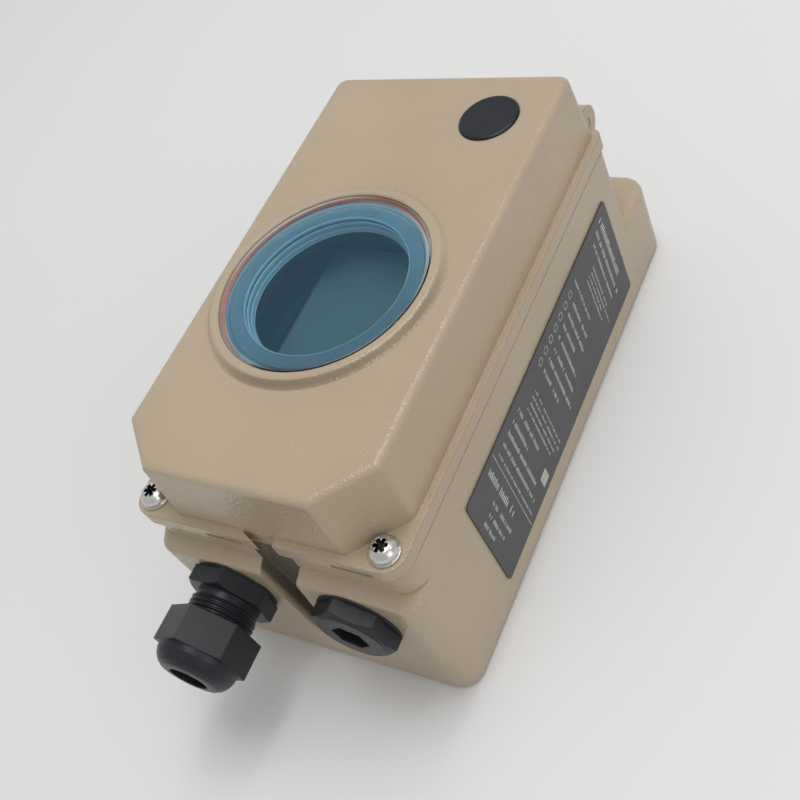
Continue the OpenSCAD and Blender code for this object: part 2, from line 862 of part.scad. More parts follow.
module base_bores() {
    for (s = [-1, 1]) {
        y_bar(s * entry_x, entry_z, base_near - over, cavity_near + over, entry_r);
        translate([s * screw_x, screw_y, part_z - screw_bite - screw_room])
            cylinder(r = screw_thread_r, h = screw_bite + screw_room + over);
        x_bar(hinge_y, hinge_z, min(s * (base_knuckle_in - over), s * (base_knuckle_x + over)),
            max(s * (base_knuckle_in - over), s * (base_knuckle_x + over)), pin_r + play);
        for (y = [-post_y, post_y])
            translate([s * post_dx / 2, y, -over]) cylinder(r = post_hole_r, h = pocket_z);
        translate([s * port_pitch / 2, port_y, -over]) cylinder(r = port_r, h = port_depth + over);
        translate([s * port_pitch / 2, port_y, port_depth - over]) cylinder(r = passage_r, h = floor_z);
        for (y = pillar_y)
            translate([s * pillar_x, y, board_z - board_t - m3_bite]) cylinder(r = m3_hole_r, h = m3_bite + over);
    }
    translate([0, vent_y, 0]) cylinder(r = vent_r - vent_seat, h = floor_z + over);
    translate([0, vent_y, 0]) cylinder(r = vent_r + gap, h = pocket_z - vent_lip);
    translate([shaft_x, shaft_y, boss_low - over]) cylinder(r = bush_r + snug, h = boss_top - boss_low + 2 * over);
}

module base_housing() {
    color([0.62, 0.58, 0.50]) difference() {
        union() {
            base_block();
            translate([0, 0, ledge_z - rim_sink]) linear_extrude(ledge_drop + rim_sink)
                round_outline(base_half, rim_near, base_far, flange_corner_r, far_corner_r);
            base_foot();
            for (s = [-1, 1]) {
                base_knuckle(s);
                for (y = [-post_y, post_y])
                    translate([s * post_dx / 2, y, 0]) cylinder(r = post_r, h = pocket_z);
                translate([s * port_pitch / 2, port_y, 0]) cylinder(r = port_r + port_wall, h = pocket_z);
            }
        }
        rear_pockets();
        base_cavity();
        entry_slot();
        base_bores();
        translate([0, 0, part_z - cord_h]) linear_extrude(cord_h + over) difference() {
            cord_outline(cord_in + cord_w + gap);
            cord_outline(cord_in - gap);
        }
    }
}

module rating_plate() {
    mid_y = face_near + label_near + label_l / 2;
    mid_z = part_z - label_down - label_h / 2;
    color([0.27, 0.29, 0.30]) translate([base_half, mid_y, mid_z]) rotate([90, 0, 90])
        linear_extrude(label_t) round_outline(label_l / 2, -label_h / 2, label_h / 2, label_r, label_r);
}

module gland_washer() {
    color([0.10, 0.10, 0.11]) y_washer(-entry_x, gland_y, base_near, thread_r + gap, washer_out);
}

module gland_body() {
    color([0.15, 0.16, 0.17]) difference() {
        union() {
            y_bar(-entry_x, entry_z, gland_y - over, cavity_near + over, thread_r);
            hex_bar(-entry_x, entry_z, gland_hex_y, gland_y, gland_body_af, hex_bevel, gland_hex_turn);
            y_bar(-entry_x, entry_z, neck_end, gland_y - over, neck_r);
        }
        y_bar(-entry_x, entry_z, neck_end - over, cavity_near + 2 * over, gland_bore_r);
        y_bar(-entry_x, entry_z, neck_end - over, gland_step_y, neck_bore_r);
    }
}

module gland_seal() {
    color([0.08, 0.08, 0.09]) translate([-entry_x, 0, entry_z]) rotate([90, 0, 0]) rotate_extrude()
        polygon([[seal_bore_r, -gland_seal_far], [gland_seal_r, -gland_seal_far],
            [gland_seal_r, -gland_seal_near], [seal_bore_r, -gland_seal_near]]);
}

module gland_nut() {
    hex_end = gland_end + gland_dome_l;
    corner_r = gland_af / sqrt(3);
    dome_r = gland_af / 2 - dome_in;
    lip_r = gland_hole_r + dome_lip;
    color([0.15, 0.16, 0.17]) difference() {
        union() {
            translate([-entry_x, gland_nut_y, entry_z]) rotate([90, 0, 0]) rotate(gland_nut_turn)
                cylinder(r = corner_r, h = gland_nut_y - hex_end, $fn = 6);
            translate([-entry_x, hex_end + over, entry_z]) rotate([90, 0, 0]) rotate_extrude()
                polygon(concat([[0, 0], [dome_r, 0], [dome_r, over]],
                    [for (i = [1:dome_steps]) [lip_r + (dome_r - lip_r) * cos(i * 90 / dome_steps),
                        over + gland_dome_l * sin(i * 90 / dome_steps)]], [[0, gland_dome_l + over]]));
        }
        y_bar(-entry_x, entry_z, gland_end - over, gland_nut_y, gland_hole_r);
        y_bar(-entry_x, entry_z, gland_seal_near - dome_in, gland_nut_y + over, nut_bore_r);
    }
}

module plug_washer() {
    color([0.10, 0.10, 0.11]) y_washer(entry_x, plug_y, base_near, thread_r + gap, washer_out);
}

module blanking_plug() {
    color([0.15, 0.16, 0.17]) difference() {
        union() {
            y_bar(entry_x, entry_z, plug_y - over, cavity_near - over, thread_r);
            hex_bar(entry_x, entry_z, plug_front, plug_y, plug_af, plug_bevel, plug_turn);
        }
        translate([entry_x, plug_front + plug_socket_d, entry_z]) rotate([90, 0, 0]) rotate(plug_turn)
            cylinder(r = plug_socket / sqrt(3), h = plug_socket_d + over, $fn = 6);
    }
}

// Plate over the board, with skirts down to it and a bay for the terminals
module display_panel() {
    bay = terminal_x + bay_room;
    low = board_z;
    color([0.09, 0.11, 0.14]) difference() {
        union() {
            difference() {
                round_box([-panel_half, panel_near, low], [panel_half, panel_far, panel_z], panel_corner_r);
                round_box([-panel_half + skirt_t, panel_near + skirt_t, low - over],
                    [panel_half - skirt_t, panel_far - skirt_t, panel_z - panel_t], panel_corner_r - over);
            }
            for (s = [-1, 1], y = pillar_y)
                translate([s * pillar_x, y, low]) cylinder(r = post_tube_r, h = panel_z - low - panel_t / 2);
        }
        span_box([-bay, panel_near - over, low - over], [bay, terminal_y[1] + bay_room, panel_z + over]);
        span_box([lcd_x - lcd_w / 2, lcd_y - lcd_l / 2, low],
            [lcd_x + lcd_w / 2, lcd_y + lcd_l / 2, panel_z + over]);
        for (s = [-1, 1], y = pillar_y) translate([s * pillar_x, y, 0]) {
            translate([0, 0, low - over]) cylinder(r = m3_hole_r, h = panel_z - low + 2 * over);
            translate([0, 0, panel_z - m3_head_h]) cylinder(r = m3_head_r + gap, h = m3_head_h + over);
        }
        translate([knob_x, knob_y, low]) cylinder(r = stem_r + stem_hole, h = panel_z);
        for (y = [switch_y, restrictor_y])
            span_box([switch_x - (tab_l + slide_travel) / 2 - room, y - tab_w / 2 - room, low],
                [switch_x + (tab_l + slide_travel) / 2 + room, y + tab_w / 2 + room, panel_z + over]);
    }
}

module display_glass() {
    color([0.30, 0.40, 0.42])
        span_box([lcd_x - lcd_w / 2 + gap, lcd_y - lcd_l / 2 + gap, panel_z - lcd_sink - lcd_t],
            [lcd_x + lcd_w / 2 - gap, lcd_y + lcd_l / 2 - gap, panel_z - lcd_sink]);
}

// Light box under the display, standing on the board
module display_frame() {
    half_w = lcd_w / 2 - lcd_frame_gap;
    half_l = lcd_l / 2 - lcd_frame_gap;
    color([0.80, 0.80, 0.78]) difference() {
        span_box([lcd_x - half_w, lcd_y - half_l, board_z],
            [lcd_x + half_w, lcd_y + half_l, panel_z - lcd_sink - lcd_t]);
        span_box([lcd_x - half_w + lcd_rim, lcd_y - half_l + lcd_rim, board_z + lcd_frame_floor],
            [lcd_x + half_w - lcd_rim, lcd_y + half_l - lcd_rim, panel_z]);
    }
}

module circuit_board() {
    color([0.10, 0.32, 0.20]) difference() {
        round_box([-board_half, panel_near - 2 * over, board_z - board_t], [board_half, panel_far + over, board_z],
            panel_corner_r);
        for (s = [-1, 1], y = pillar_y)
            translate([s * pillar_x, y, board_z - board_t - over]) cylinder(r = m3_hole_r, h = board_t + 2 * over);
    }
}

module panel_screws() {
    tip = board_z - board_t - m3_bite + over;
    color([0.72, 0.72, 0.74]) for (s = [-1, 1], y = pillar_y) translate([s * pillar_x, y, 0]) difference() {
        union() {
            translate([0, 0, panel_z - m3_head_h]) cylinder(r = m3_head_r, h = m3_head_h - head_sink);
            translate([0, 0, tip]) cylinder(r = m3_r, h = panel_z - m3_head_h - tip);
        }
        translate([-m3_head_r, -drive_w / 2, panel_z - head_slot]) cube([2 * m3_head_r, drive_w, head_slot + over]);
    }
}

// Row of clamps, with wire funnels towards the cable end and screws on top
module terminal_block() {
    color([0.20, 0.42, 0.30]) difference() {
        span_box([-terminal_x, terminal_y[0], board_z], [terminal_x, terminal_y[1], board_z + terminal_h]);
        for (i = [0:terminal_ways - 1]) {
            x = -terminal_x + (i + 0.5) * terminal_pitch;
            span_box([x - funnel_half, terminal_y[0] - over, board_z + funnel_z[0]],
                [x + funnel_half, terminal_y[0] + funnel_d, board_z + funnel_z[1]]);
            translate([x, clamp_y, clamp_z]) cylinder(r = clamp_r + gap, h = terminal_h);
        }
        span_box([-terminal_x - over, terminal_y[1] - terminal_step, board_z + terminal_h - terminal_step],
            [terminal_x + over, terminal_y[1] + over, board_z + terminal_h + over]);
    }
}

module terminal_screws() {
    color([0.70, 0.70, 0.72]) for (i = [0:terminal_ways - 1])
        translate([-terminal_x + (i + 0.5) * terminal_pitch, clamp_y, clamp_z]) difference() {
            cylinder(r = clamp_r, h = clamp_h);
            translate([-clamp_r - over, -drive_w / 2, clamp_h - clamp_slot])
                cube([2 * (clamp_r + over), drive_w, clamp_slot + over]);
        }
}

module encoder_body() {
    color([0.25, 0.26, 0.28]) translate([knob_x, knob_y, board_z]) difference() {
        union() {
            translate([-encoder_w / 2, -encoder_w / 2, 0]) cube([encoder_w, encoder_w, encoder_h]);
            cylinder(r = stem_r + stem_tube, h = panel_z - panel_t - board_z);
        }
        translate([0, 0, stem_foot - knob_press - room]) cylinder(r = stem_r + play, h = panel_z);
    }
}

// Stem that slides in the encoder and carries the knob
module encoder_stem() {
    color([0.70, 0.70, 0.72]) translate([knob_x, knob_y, board_z + stem_foot])
        cylinder(r = stem_r, h = knob_z + knob_h - knob_wall - board_z - stem_foot - stem_gap);
}

// Star knob with a row of finger grooves
module push_knob() {
    color([0.12, 0.13, 0.15]) translate([knob_x, knob_y, knob_z]) difference() {
        rotate_extrude()
            polygon([[stem_r + play, 0], [knob_r, 0], [knob_r, knob_h - knob_bevel], [knob_r - knob_bevel, knob_h],
                [0, knob_h], [0, knob_h - knob_wall], [stem_r + play, knob_h - knob_wall]]);
        for (a = [0:45:315]) rotate(a) translate([knob_r + finger_out, 0, finger_z])
            cylinder(r = finger_r, h = knob_h);
    }
}

// Housing of a slide switch, with a groove that guides its slider
module switch_body(y) {
    guide = tab_l + slide_travel + 2 * play;
    translate([switch_x, y, board_z]) difference() {
        translate([-switch_l / 2, -switch_w / 2, 0]) cube([switch_l, switch_w, panel_z - panel_t - board_z]);
        translate([-guide / 2, -tab_w / 2 - play, guide_z]) cube([guide, tab_w + 2 * play, panel_z]);
    }
}

// Slider at the -X end of its travel
module switch_slider(y) {
    translate([switch_x - (slide_travel + tab_l) / 2, y - tab_w / 2, board_z + guide_z + play])
        cube([tab_l, tab_w, panel_z + tab_up - board_z - guide_z]);
}

module action_switch_body() {
    color([0.18, 0.19, 0.20]) switch_body(switch_y);
}

module action_switch_slider() {
    color([0.80, 0.80, 0.78]) switch_slider(switch_y);
}

module restrictor_body() {
    color([0.18, 0.19, 0.20]) switch_body(restrictor_y);
}

module restrictor_slider() {
    color([0.75, 0.35, 0.20]) switch_slider(restrictor_y);
}

// Block that joins the air ports to the converter and the booster
module air_manifold() {
    color([0.60, 0.61, 0.63]) difference() {
        round_box([-manifold_half, manifold_y[0], floor_z], [manifold_half, manifold_y[1], manifold_z],
            manifold_corner_r);
        for (s = [-1, 1]) {
            translate([s * port_pitch / 2, port_y, floor_z - over]) cylinder(r = passage_r, h = manifold_h / 2);
            translate([s * port_pitch / 2, port_y, floor_z - over])
                cylinder(r = passage_r + port_seal_in + port_seal_w + seal_room, h = port_seal_t + seal_room + over);
            for (y = manifold_screw_y)
                translate([s * (manifold_half - manifold_edge), y, floor_z - over])
                    cylinder(r = m3_hole_r, h = manifold_h + 2 * over);
        }
    }
}

module manifold_screws() {
    color([0.30, 0.30, 0.32]) for (s = [-1, 1], y = manifold_screw_y)
        translate([s * (manifold_half - manifold_edge), y, 0]) difference() {
            union() {
                translate([0, 0, manifold_z]) cylinder(r = m3_head_r, h = cap_head_h);
                translate([0, 0, floor_z + head_sink]) cylinder(r = m3_r, h = manifold_h);
            }
            translate([0, 0, manifold_z + cap_head_h - cap_key_d])
                cylinder(r = cap_key_r, h = cap_key_d + over, $fn = 6);
        }
}

module port_seals() {
    color([0.10, 0.10, 0.11]) for (s = [-1, 1])
        z_ring(s * port_pitch / 2, port_y, floor_z, passage_r + port_seal_in,
            passage_r + port_seal_in + port_seal_w, port_seal_t);
}

// Can of the current to pressure converter, with its coil cap
module signal_converter() {
    top = unit_top - manifold_z;
    can_r = converter_r - converter_step;
    color([0.45, 0.46, 0.48]) translate([converter_x, manifold_mid, manifold_z]) rotate_extrude()
        polygon([[0, 0], [converter_r, 0], [converter_r, converter_foot_h], [can_r, converter_foot_h],
            [can_r, top - converter_step], [can_r - converter_step, top], [0, top]]);
}

// Booster with a ribbed diaphragm cap
module air_booster() {
    top = unit_top - manifold_z - booster_drop;
    color([0.55, 0.55, 0.57]) translate([booster_x, manifold_mid, manifold_z]) rotate_extrude()
        polygon([[0, 0], [booster_r, 0], [booster_r, top * 0.35], [booster_r - booster_groove, top * 0.42],
            [booster_r, top * 0.5], [booster_r, top * 0.75], [booster_cap_r, top], [0, top]]);
}

module feedback_shaft() {
    color([0.72, 0.72, 0.74]) translate([shaft_x, shaft_y, 0]) difference() {
        union() {
            translate([0, 0, shaft_low]) cylinder(r = shaft_r, h = shaft_top - shaft_low);
            translate([0, 0, collar_z]) cylinder(r = collar_r, h = collar_t);
        }
        z_ring(0, 0, boss_top + ring_up, shaft_r - ring_groove, shaft_r + over, ring_t + 2 * ring_play);
    }
}

module shaft_bush() {
    color([0.62, 0.52, 0.30]) translate([shaft_x, shaft_y, bush_z]) rotate_extrude()
        polygon([[shaft_r + play, 0], [bush_flange_r, 0], [bush_flange_r, bush_flange_t], [bush_r, bush_flange_t],
            [bush_r, boss_top - bush_z], [shaft_r + play, boss_top - bush_z]]);
}

module retaining_ring() {
    color([0.35, 0.35, 0.37]) difference() {
        z_ring(shaft_x, shaft_y, boss_top + ring_up + ring_play, shaft_r - ring_groove + ring_play,
            shaft_r + ring_out, ring_t);
        translate([shaft_x, shaft_y - ring_gap / 2, boss_top])
            cube([shaft_r + ring_out + over, ring_gap, ring_up + ring_t + over]);
    }
}

module sensor_magnet() {
    color([0.40, 0.40, 0.42]) translate([shaft_x, shaft_y, shaft_top]) cylinder(r = magnet_r, h = magnet_h);
}

module sensor_board() {
    color([0.10, 0.32, 0.20])
        translate([shaft_x - bridge_w / 2 + sensor_in, shaft_y - bridge_half + sensor_end, sensor_z])
            cube([bridge_w - 2 * sensor_in, 2 * (bridge_half - sensor_end), sensor_t]);
}

// Bridge that holds the sensor board over the shaft's magnet
module sensor_bracket() {
    color([0.66, 0.66, 0.68]) translate([shaft_x - bridge_w / 2, shaft_y - bridge_half, 0]) {
        translate([0, 0, sensor_z + sensor_t]) cube([bridge_w, 2 * bridge_half, bridge_t]);
        for (y = [0, 2 * bridge_half - bridge_t]) translate([0, y, floor_z])
            cube([bridge_w, bridge_t, sensor_z + sensor_t - floor_z + over]);
        for (y = [-bridge_foot, 2 * bridge_half - bridge_t]) translate([0, y, floor_z])
            cube([bridge_w, bridge_t + bridge_foot, bridge_t]);
    }
}

// Flat lever with a row of pin places and a round hub
module feedback_lever() {
    color([0.72, 0.72, 0.74]) translate([shaft_x, shaft_y, lever_z]) difference() {
        union() {
            translate([0, -lever_r, 0]) cube([lever_l, 2 * lever_r, lever_t]);
            cylinder(r = lever_r + hub_out, h = lever_t);
            translate([lever_l, 0, 0]) cylinder(r = lever_r, h = lever_t);
        }
        translate([0, 0, -over]) cylinder(r = shaft_r + snug, h = lever_t + 2 * over);
        for (d = [pin_at - pin_step, pin_at, lever_l])
            translate([d, 0, -over]) cylinder(r = follower_shank_r + snug, h = lever_t + 2 * over);
    }
}

// Pin that follows the valve stem's clamp
module follower_pin() {
    collar_low = lever_z - follower_collar[1];
    rim_r = follower_r + follower_collar[0];
    top = collar_z + follower_end;
    color([0.72, 0.72, 0.74]) translate([shaft_x + pin_at, shaft_y, 0]) rotate_extrude()
        polygon([[0, follower_low], [follower_r - follower_edge, follower_low],
            [follower_r, follower_low + follower_edge], [follower_r, collar_low], [rim_r, collar_low],
            [rim_r, lever_z],
            [follower_shank_r, lever_z], [follower_shank_r, top], [0, top]]);
}

module pin_nut() {
    color([0.66, 0.66, 0.68]) translate([shaft_x + pin_at, shaft_y, collar_z]) difference() {
        cylinder(r = pin_nut_af / sqrt(3), h = pin_nut_h, $fn = 6);
        translate([0, 0, -over]) cylinder(r = follower_shank_r + snug, h = pin_nut_h + 2 * over);
    }
}

module disc_spring() {
    color([0.60, 0.60, 0.62]) translate([shaft_x, shaft_y, spring_z]) rotate_extrude()
        polygon([[shaft_r + gap, 0], [shaft_r + spring_in, 0], [lever_r + spring_out, spring_t - spring_sheet],
            [lever_r + spring_out, spring_t], [lever_r, spring_t], [shaft_r + gap, spring_sheet]]);
}

module lever_nut() {
    color([0.66, 0.66, 0.68]) translate([shaft_x, shaft_y, lever_nut_z]) difference() {
        cylinder(r = nut_af / sqrt(3), h = nut_h, $fn = 6);
        translate([0, 0, -over]) cylinder(r = shaft_r + snug, h = nut_h + 2 * over);
    }
}

// Sintered disc in the mouth of the exhaust
module vent_filter() {
    color([0.60, 0.50, 0.32]) translate([0, vent_y, pocket_z - vent_lip - vent_t])
        cylinder(r = vent_r, h = vent_t);
}

base_housing();
front_cover();
cover_gasket();
window_gasket();
window_glass();
protective_film();
badge_disc();
cover_screws();
screw_washers();
hinge_pins();
rating_plate();
gland_washer();
gland_body();
gland_seal();
gland_nut();
plug_washer();
blanking_plug();
display_panel();
display_glass();
display_frame();
circuit_board();
panel_screws();
terminal_block();
terminal_screws();
encoder_body();
encoder_stem();
push_knob();
action_switch_body();
action_switch_slider();
restrictor_body();
restrictor_slider();
air_manifold();
manifold_screws();
port_seals();
signal_converter();
air_booster();
feedback_shaft();
shaft_bush();
retaining_ring();
sensor_magnet();
sensor_board();
sensor_bracket();
feedback_lever();
follower_pin();
pin_nut();
disc_spring();
lever_nut();
vent_filter();
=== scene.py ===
# %% [markdown]
# # A valve positioner in its cast case
# The part is a small instrument that lies on its mounting side: a painted casting with a hinged cover,
# a round window under a blue film, two cable entries and a plate on one long side. The solids come
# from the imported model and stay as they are. This lesson gives them their finishes, adds the fine
# pieces that are too small for solids, and sets up the studio.

import json
import math

import bmesh
import bpy
import numpy as np
from mathutils import Matrix, Vector

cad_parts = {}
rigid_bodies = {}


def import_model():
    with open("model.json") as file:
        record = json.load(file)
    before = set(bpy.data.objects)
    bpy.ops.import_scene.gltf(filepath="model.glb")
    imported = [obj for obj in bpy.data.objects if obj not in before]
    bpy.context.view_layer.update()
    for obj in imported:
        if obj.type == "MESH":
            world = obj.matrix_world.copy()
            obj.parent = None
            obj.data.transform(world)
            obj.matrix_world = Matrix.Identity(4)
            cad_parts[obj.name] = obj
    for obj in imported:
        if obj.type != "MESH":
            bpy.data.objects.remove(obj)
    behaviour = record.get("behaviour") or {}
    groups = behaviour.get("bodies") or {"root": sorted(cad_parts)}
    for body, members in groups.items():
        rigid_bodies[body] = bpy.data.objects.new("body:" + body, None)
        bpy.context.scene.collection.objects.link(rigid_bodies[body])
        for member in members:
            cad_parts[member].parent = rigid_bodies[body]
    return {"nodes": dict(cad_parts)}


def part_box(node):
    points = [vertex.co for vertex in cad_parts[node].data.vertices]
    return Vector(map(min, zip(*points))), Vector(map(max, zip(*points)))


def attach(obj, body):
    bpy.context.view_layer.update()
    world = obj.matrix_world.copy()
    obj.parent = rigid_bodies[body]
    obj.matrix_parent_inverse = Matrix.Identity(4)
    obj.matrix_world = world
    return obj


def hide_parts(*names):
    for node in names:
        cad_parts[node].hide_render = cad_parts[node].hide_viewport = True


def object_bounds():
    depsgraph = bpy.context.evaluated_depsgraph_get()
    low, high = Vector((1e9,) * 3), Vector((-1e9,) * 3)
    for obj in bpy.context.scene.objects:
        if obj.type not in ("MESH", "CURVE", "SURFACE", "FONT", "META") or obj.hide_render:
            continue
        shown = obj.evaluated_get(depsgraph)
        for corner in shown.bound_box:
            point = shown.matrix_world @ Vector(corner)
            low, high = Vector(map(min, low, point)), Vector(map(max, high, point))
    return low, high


for leftover in list(bpy.data.objects):
    bpy.data.objects.remove(leftover)
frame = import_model()
cad_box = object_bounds()
nodes = frame["nodes"]
MM = 0.001
FULL_TURN = 2 * math.pi


def place_of(name):
    """Lowest and highest corner of a solid, in millimetres."""
    return [[v / MM for v in corner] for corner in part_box(name)]


print("solids", len(nodes), "box in mm", [[round(v / MM, 1) for v in corner] for corner in cad_box])

# %% [markdown]
# ## The camera
# The photograph looks down on the part over its near right corner. A camera could be set by trying
# angles until the picture looks right. Here its place and its three directions were worked out from the
# known edges of the part, so they are written down as they are: the directions become the columns of
# the camera's matrix, because a camera looks along its own -Z with +Y up.

# %% Camera
CAMERA_SPOT = Vector((181.76, -164.02, 290.19)) * MM
RIGHT = Vector((0.84327, 0.39919, -0.35992))
UP = Vector((-0.13318, 0.80394, 0.57961))
BACK = Vector((0.52073, -0.44083, 0.73110))
FOCAL_LENGTH, SENSOR_WIDTH, NEAREST = 51.22, 36, 0.01
camera = bpy.data.objects.new("camera", bpy.data.cameras.new("camera"))
camera.data.lens = FOCAL_LENGTH
camera.data.sensor_width = SENSOR_WIDTH
camera.data.clip_start = NEAREST
facing = Matrix((RIGHT, UP, BACK)).transposed().to_4x4()
camera.matrix_world = Matrix.Translation(CAMERA_SPOT) @ facing
bpy.context.scene.collection.objects.link(camera)
bpy.context.scene.camera = camera
middle = (Vector(cad_box[0]) + Vector(cad_box[1])) / 2
print("camera", round((CAMERA_SPOT - middle).length / MM), "mm from the part's middle")

# %% [markdown]
# ## Sums on sockets
# A finish is a graph of nodes, and wiring each node by hand hides what it works out. This small class
# holds one socket. Adding or multiplying two of them adds the Math node, so a mask reads as a formula.
# Every other node is made by one method: the kind, then its settings, then what goes into its sockets.

# %% Wire
class Wire:
    """One socket of a material's nodes, for use in plain sums."""

    def __init__(self, tree, socket):
        self.tree, self.socket = tree, socket

    def node(self, kind, settings=None, sockets=None, out=0):
        """Add a node: settings first, since they decide which sockets count. Gives the output called out."""
        made = self.tree.nodes.new("ShaderNode" + kind)
        for name, value in (settings or {}).items():
            setattr(made, name, value)
        for name, value in (sockets or {}).items():
            if isinstance(value, Wire):
                self.tree.links.new(value.socket, made.inputs[name])
            else:
                made.inputs[name].default_value = value
        return Wire(self.tree, made.outputs[out])

    def maths(self, operation, *terms):
        """A Math node on these terms, each a number or a wire."""
        return self.node("Math", {"operation": operation}, dict(enumerate(terms)))

    def __add__(self, other):
        return self.maths("ADD", self, other)

    def __sub__(self, other):
        return self.maths("SUBTRACT", self, other)

    def __rsub__(self, other):
        return self.maths("SUBTRACT", other, self)

    def __mul__(self, other):
        return self.maths("MULTIPLY", self, other)

    def __truediv__(self, other):
        return self.maths("DIVIDE", self, other)

    __radd__ = __add__
    __rmul__ = __mul__

    def root(self):
        """The square root."""
        return self.maths("SQRT", self)

    def size(self):
        """The number without its sign."""
        return self.maths("ABSOLUTE", self)

    def noise(self, per_metre, detail=2.0):
        """Soft noise between 0 and 1, with this many swells in a metre."""
        return self.node("TexNoise", None, {"Vector": self, "Scale": per_metre, "Detail": detail})

    def band(self, low, high):
        """0 below low, 1 above high, a smooth climb between them."""
        settings = {"interpolation_type": "SMOOTHSTEP"}
        return self.node("MapRange", settings, {"Value": self, "From Min": low, "From Max": high})

    def inside(self, low, high, soft):
        """1 between low and high, falling to 0 over soft outside them."""
        return self.band(low - soft, low) * (1 - self.band(high, high + soft))

    def blend(self, first, second):
        """The colour first where this wire is 0, and second where it is 1."""
        return self.node("Mix", {"data_type": "RGBA"}, {0: self, 6: first, 7: second}, out=2)

    def parts(self):
        """The three numbers of a vector, here millimetres along x, y and z."""
        split = self.node("SeparateXYZ", None, {0: self}).socket.node
        return [Wire(self.tree, number) / MM for number in split.outputs]


def far_from(x, y, spot):
    """Distance in a plane: the root of the sum of the two squared offsets from the spot."""
    across, along = x - spot[0], y - spot[1]
    return (across * across + along * along).root()


print("wire can add, subtract, multiply and divide")

# %% [markdown]
# ## Opening a finish
# Every finish starts in the same way: a material, its shader, and a wire on the place that is shaded.
# What is the same all over is set on the shader's own sockets, and what changes is linked to them.

# %% Open a finish
finishes = {}


def open_finish(name):
    """A new material: its shader, and a wire on its Object coordinates, which are metres on the part."""
    finishes[name] = bpy.data.materials.new(name)
    finishes[name].use_nodes = True
    tree = finishes[name].node_tree
    place = Wire(tree, tree.nodes.new("ShaderNodeTexCoord").outputs["Object"])
    return tree.nodes["Principled BSDF"], place


def settle(shader, **plain):
    """Set the sockets that are the same all over; an underscore stands for a blank in a socket's name."""
    for socket, value in plain.items():
        shader.inputs[socket.replace("_", " ")].default_value = value


def feed(wire, shader, socket):
    """Link a wire to one of the shader's sockets."""
    wire.tree.links.new(wire.socket, shader.inputs[socket])


def drift_roughness(shader, place, rough, swells):
    """Roughness = rough[0] + (rough[1] - rough[0]) * noise with this many swells in a metre."""
    feed(rough[0] + (rough[1] - rough[0]) * place.noise(swells), shader, "Roughness")


print("finishes so far", len(finishes))

# %% [markdown]
# ## A finish with drift and grain
# Paint, plastic and metal all differ a little from place to place. Each finish here is one function of a
# few numbers: two close colours that drift into each other, a roughness that drifts apart from them,
# and a grain of tiny bumps. Edges of the solids are sharp, so a Bevel node rounds the light on them.

# %% A drifting finish
DRIFT_BAND, ROUGH_FINER, BEVEL_RAYS = (0.3, 0.7), 7, 4


def drifting(name, dark, light, patch, rough, grain, depth, edge, local=(), **plain):
    """Colour = dark to light by slow noise with patch swells in a metre. Roughness = rough[0] to rough[1] by
    finer noise. Height = noise with grain bumps in a metre, depth mm deep, on edges rounded by edge mm.
    local holds pairs: a function from place to a mask, and the colour that the mask brings in."""
    shader, place = open_finish(name)
    colour = place.noise(patch, detail=3.0).band(*DRIFT_BAND).blend((*dark, 1), (*light, 1))
    for mask, tint in local:
        colour = mask(place).blend(colour, (*tint, 1))
    feed(colour, shader, "Base Color")
    drift_roughness(shader, place, rough, patch * ROUGH_FINER)
    rounded = place.node("Bevel", {"samples": BEVEL_RAYS}, {"Radius": edge * MM})
    height = place.noise(grain, detail=1.0)
    bumps = {"Strength": 1.0, "Distance": depth * MM, "Height": height, "Normal": rounded}
    feed(place.node("Bump", None, bumps), shader, "Normal")
    settle(shader, **plain)


print("a drifting finish is ready to use")

# %% [markdown]
# ## Paint on the casting
# The case is die-cast and powder coated: a warm beige with a satin shine and the fine dimples that
# makers call orange peel. The dimples could be modelled, but they are a fifth of a millimetre deep at
# most, so they are bumps in the finish. The shine is low enough in roughness for them to break up every
# reflection into grains, which is how this paint shows along its edges. A dark painted shade fills the
# narrow slot between the cable entries, and a painted shade darkens the foot of the ring round the window
# on its near right. The base and the cover have the same finish with a mask for each painted shade.

# %% Paint
BEIGE = dict(
    dark=(0.405, 0.320, 0.219), light=(0.435, 0.348, 0.242), patch=22,
    rough=(0.14, 0.22), grain=1350, depth=0.20, edge=0.8,
)
SLOT_MIDDLE, SLOT_HALF, SLOT_HEIGHT, SLOT_DEPTH = 0.35, 6.3, (17.0, 59.6), (-78.2, -75.2)
SLOT_SIDE_SOFT, SLOT_END_SOFT, SLOT_MOUTH_SOFT = 0.2, 0.5, 2.2
# colour of the dark painted shade in the slot
SLOT_PAINTED_SHADE = (0.115, 0.098, 0.070)
window_low, window_high = place_of("window_glass")
window_axis = [(low + high) / 2 for low, high in zip(window_low, window_high)][:2]
NEAR_RIGHT, NEAR_BAND = (0.6, -0.8), (4, 28)
FOOT_RADIUS, FOOT_SOFT, FOOT_HEIGHT, FOOT_SHARE = (34.5, 36.3), 0.5, (80, 84), 0.75
# colour of the painted shade on the near right of the ring's slope
FOOT_PAINTED_SHADE = (0.21, 0.165, 0.102)


def slot_shade(place):
    """1 inside the slot between the cable entries, fading in behind its mouth: where shade is painted."""
    x, y, z = place.parts()
    across = (x - SLOT_MIDDLE).inside(-SLOT_HALF, SLOT_HALF, SLOT_SIDE_SOFT)
    return across * z.inside(*SLOT_HEIGHT, SLOT_END_SOFT) * y.inside(*SLOT_DEPTH, SLOT_MOUTH_SOFT)


def near_side(place):
    """0 on the far left of the window, 1 on its near right, by the offset from its axis along that line."""
    x, y, _ = place.parts()
    offset = NEAR_RIGHT[0] * (x - window_axis[0]) + NEAR_RIGHT[1] * (y - window_axis[1])
    return offset.band(*NEAR_BAND)


def ring_slope_shade(place):
    """Up to FOOT_SHARE on the slope of the ring round the window, on its near right, where shade is painted."""
    x, y, z = place.parts()
    slope = far_from(x, y, window_axis).inside(*FOOT_RADIUS, FOOT_SOFT) * z.band(*FOOT_HEIGHT)
    return FOOT_SHARE * slope * near_side(place)


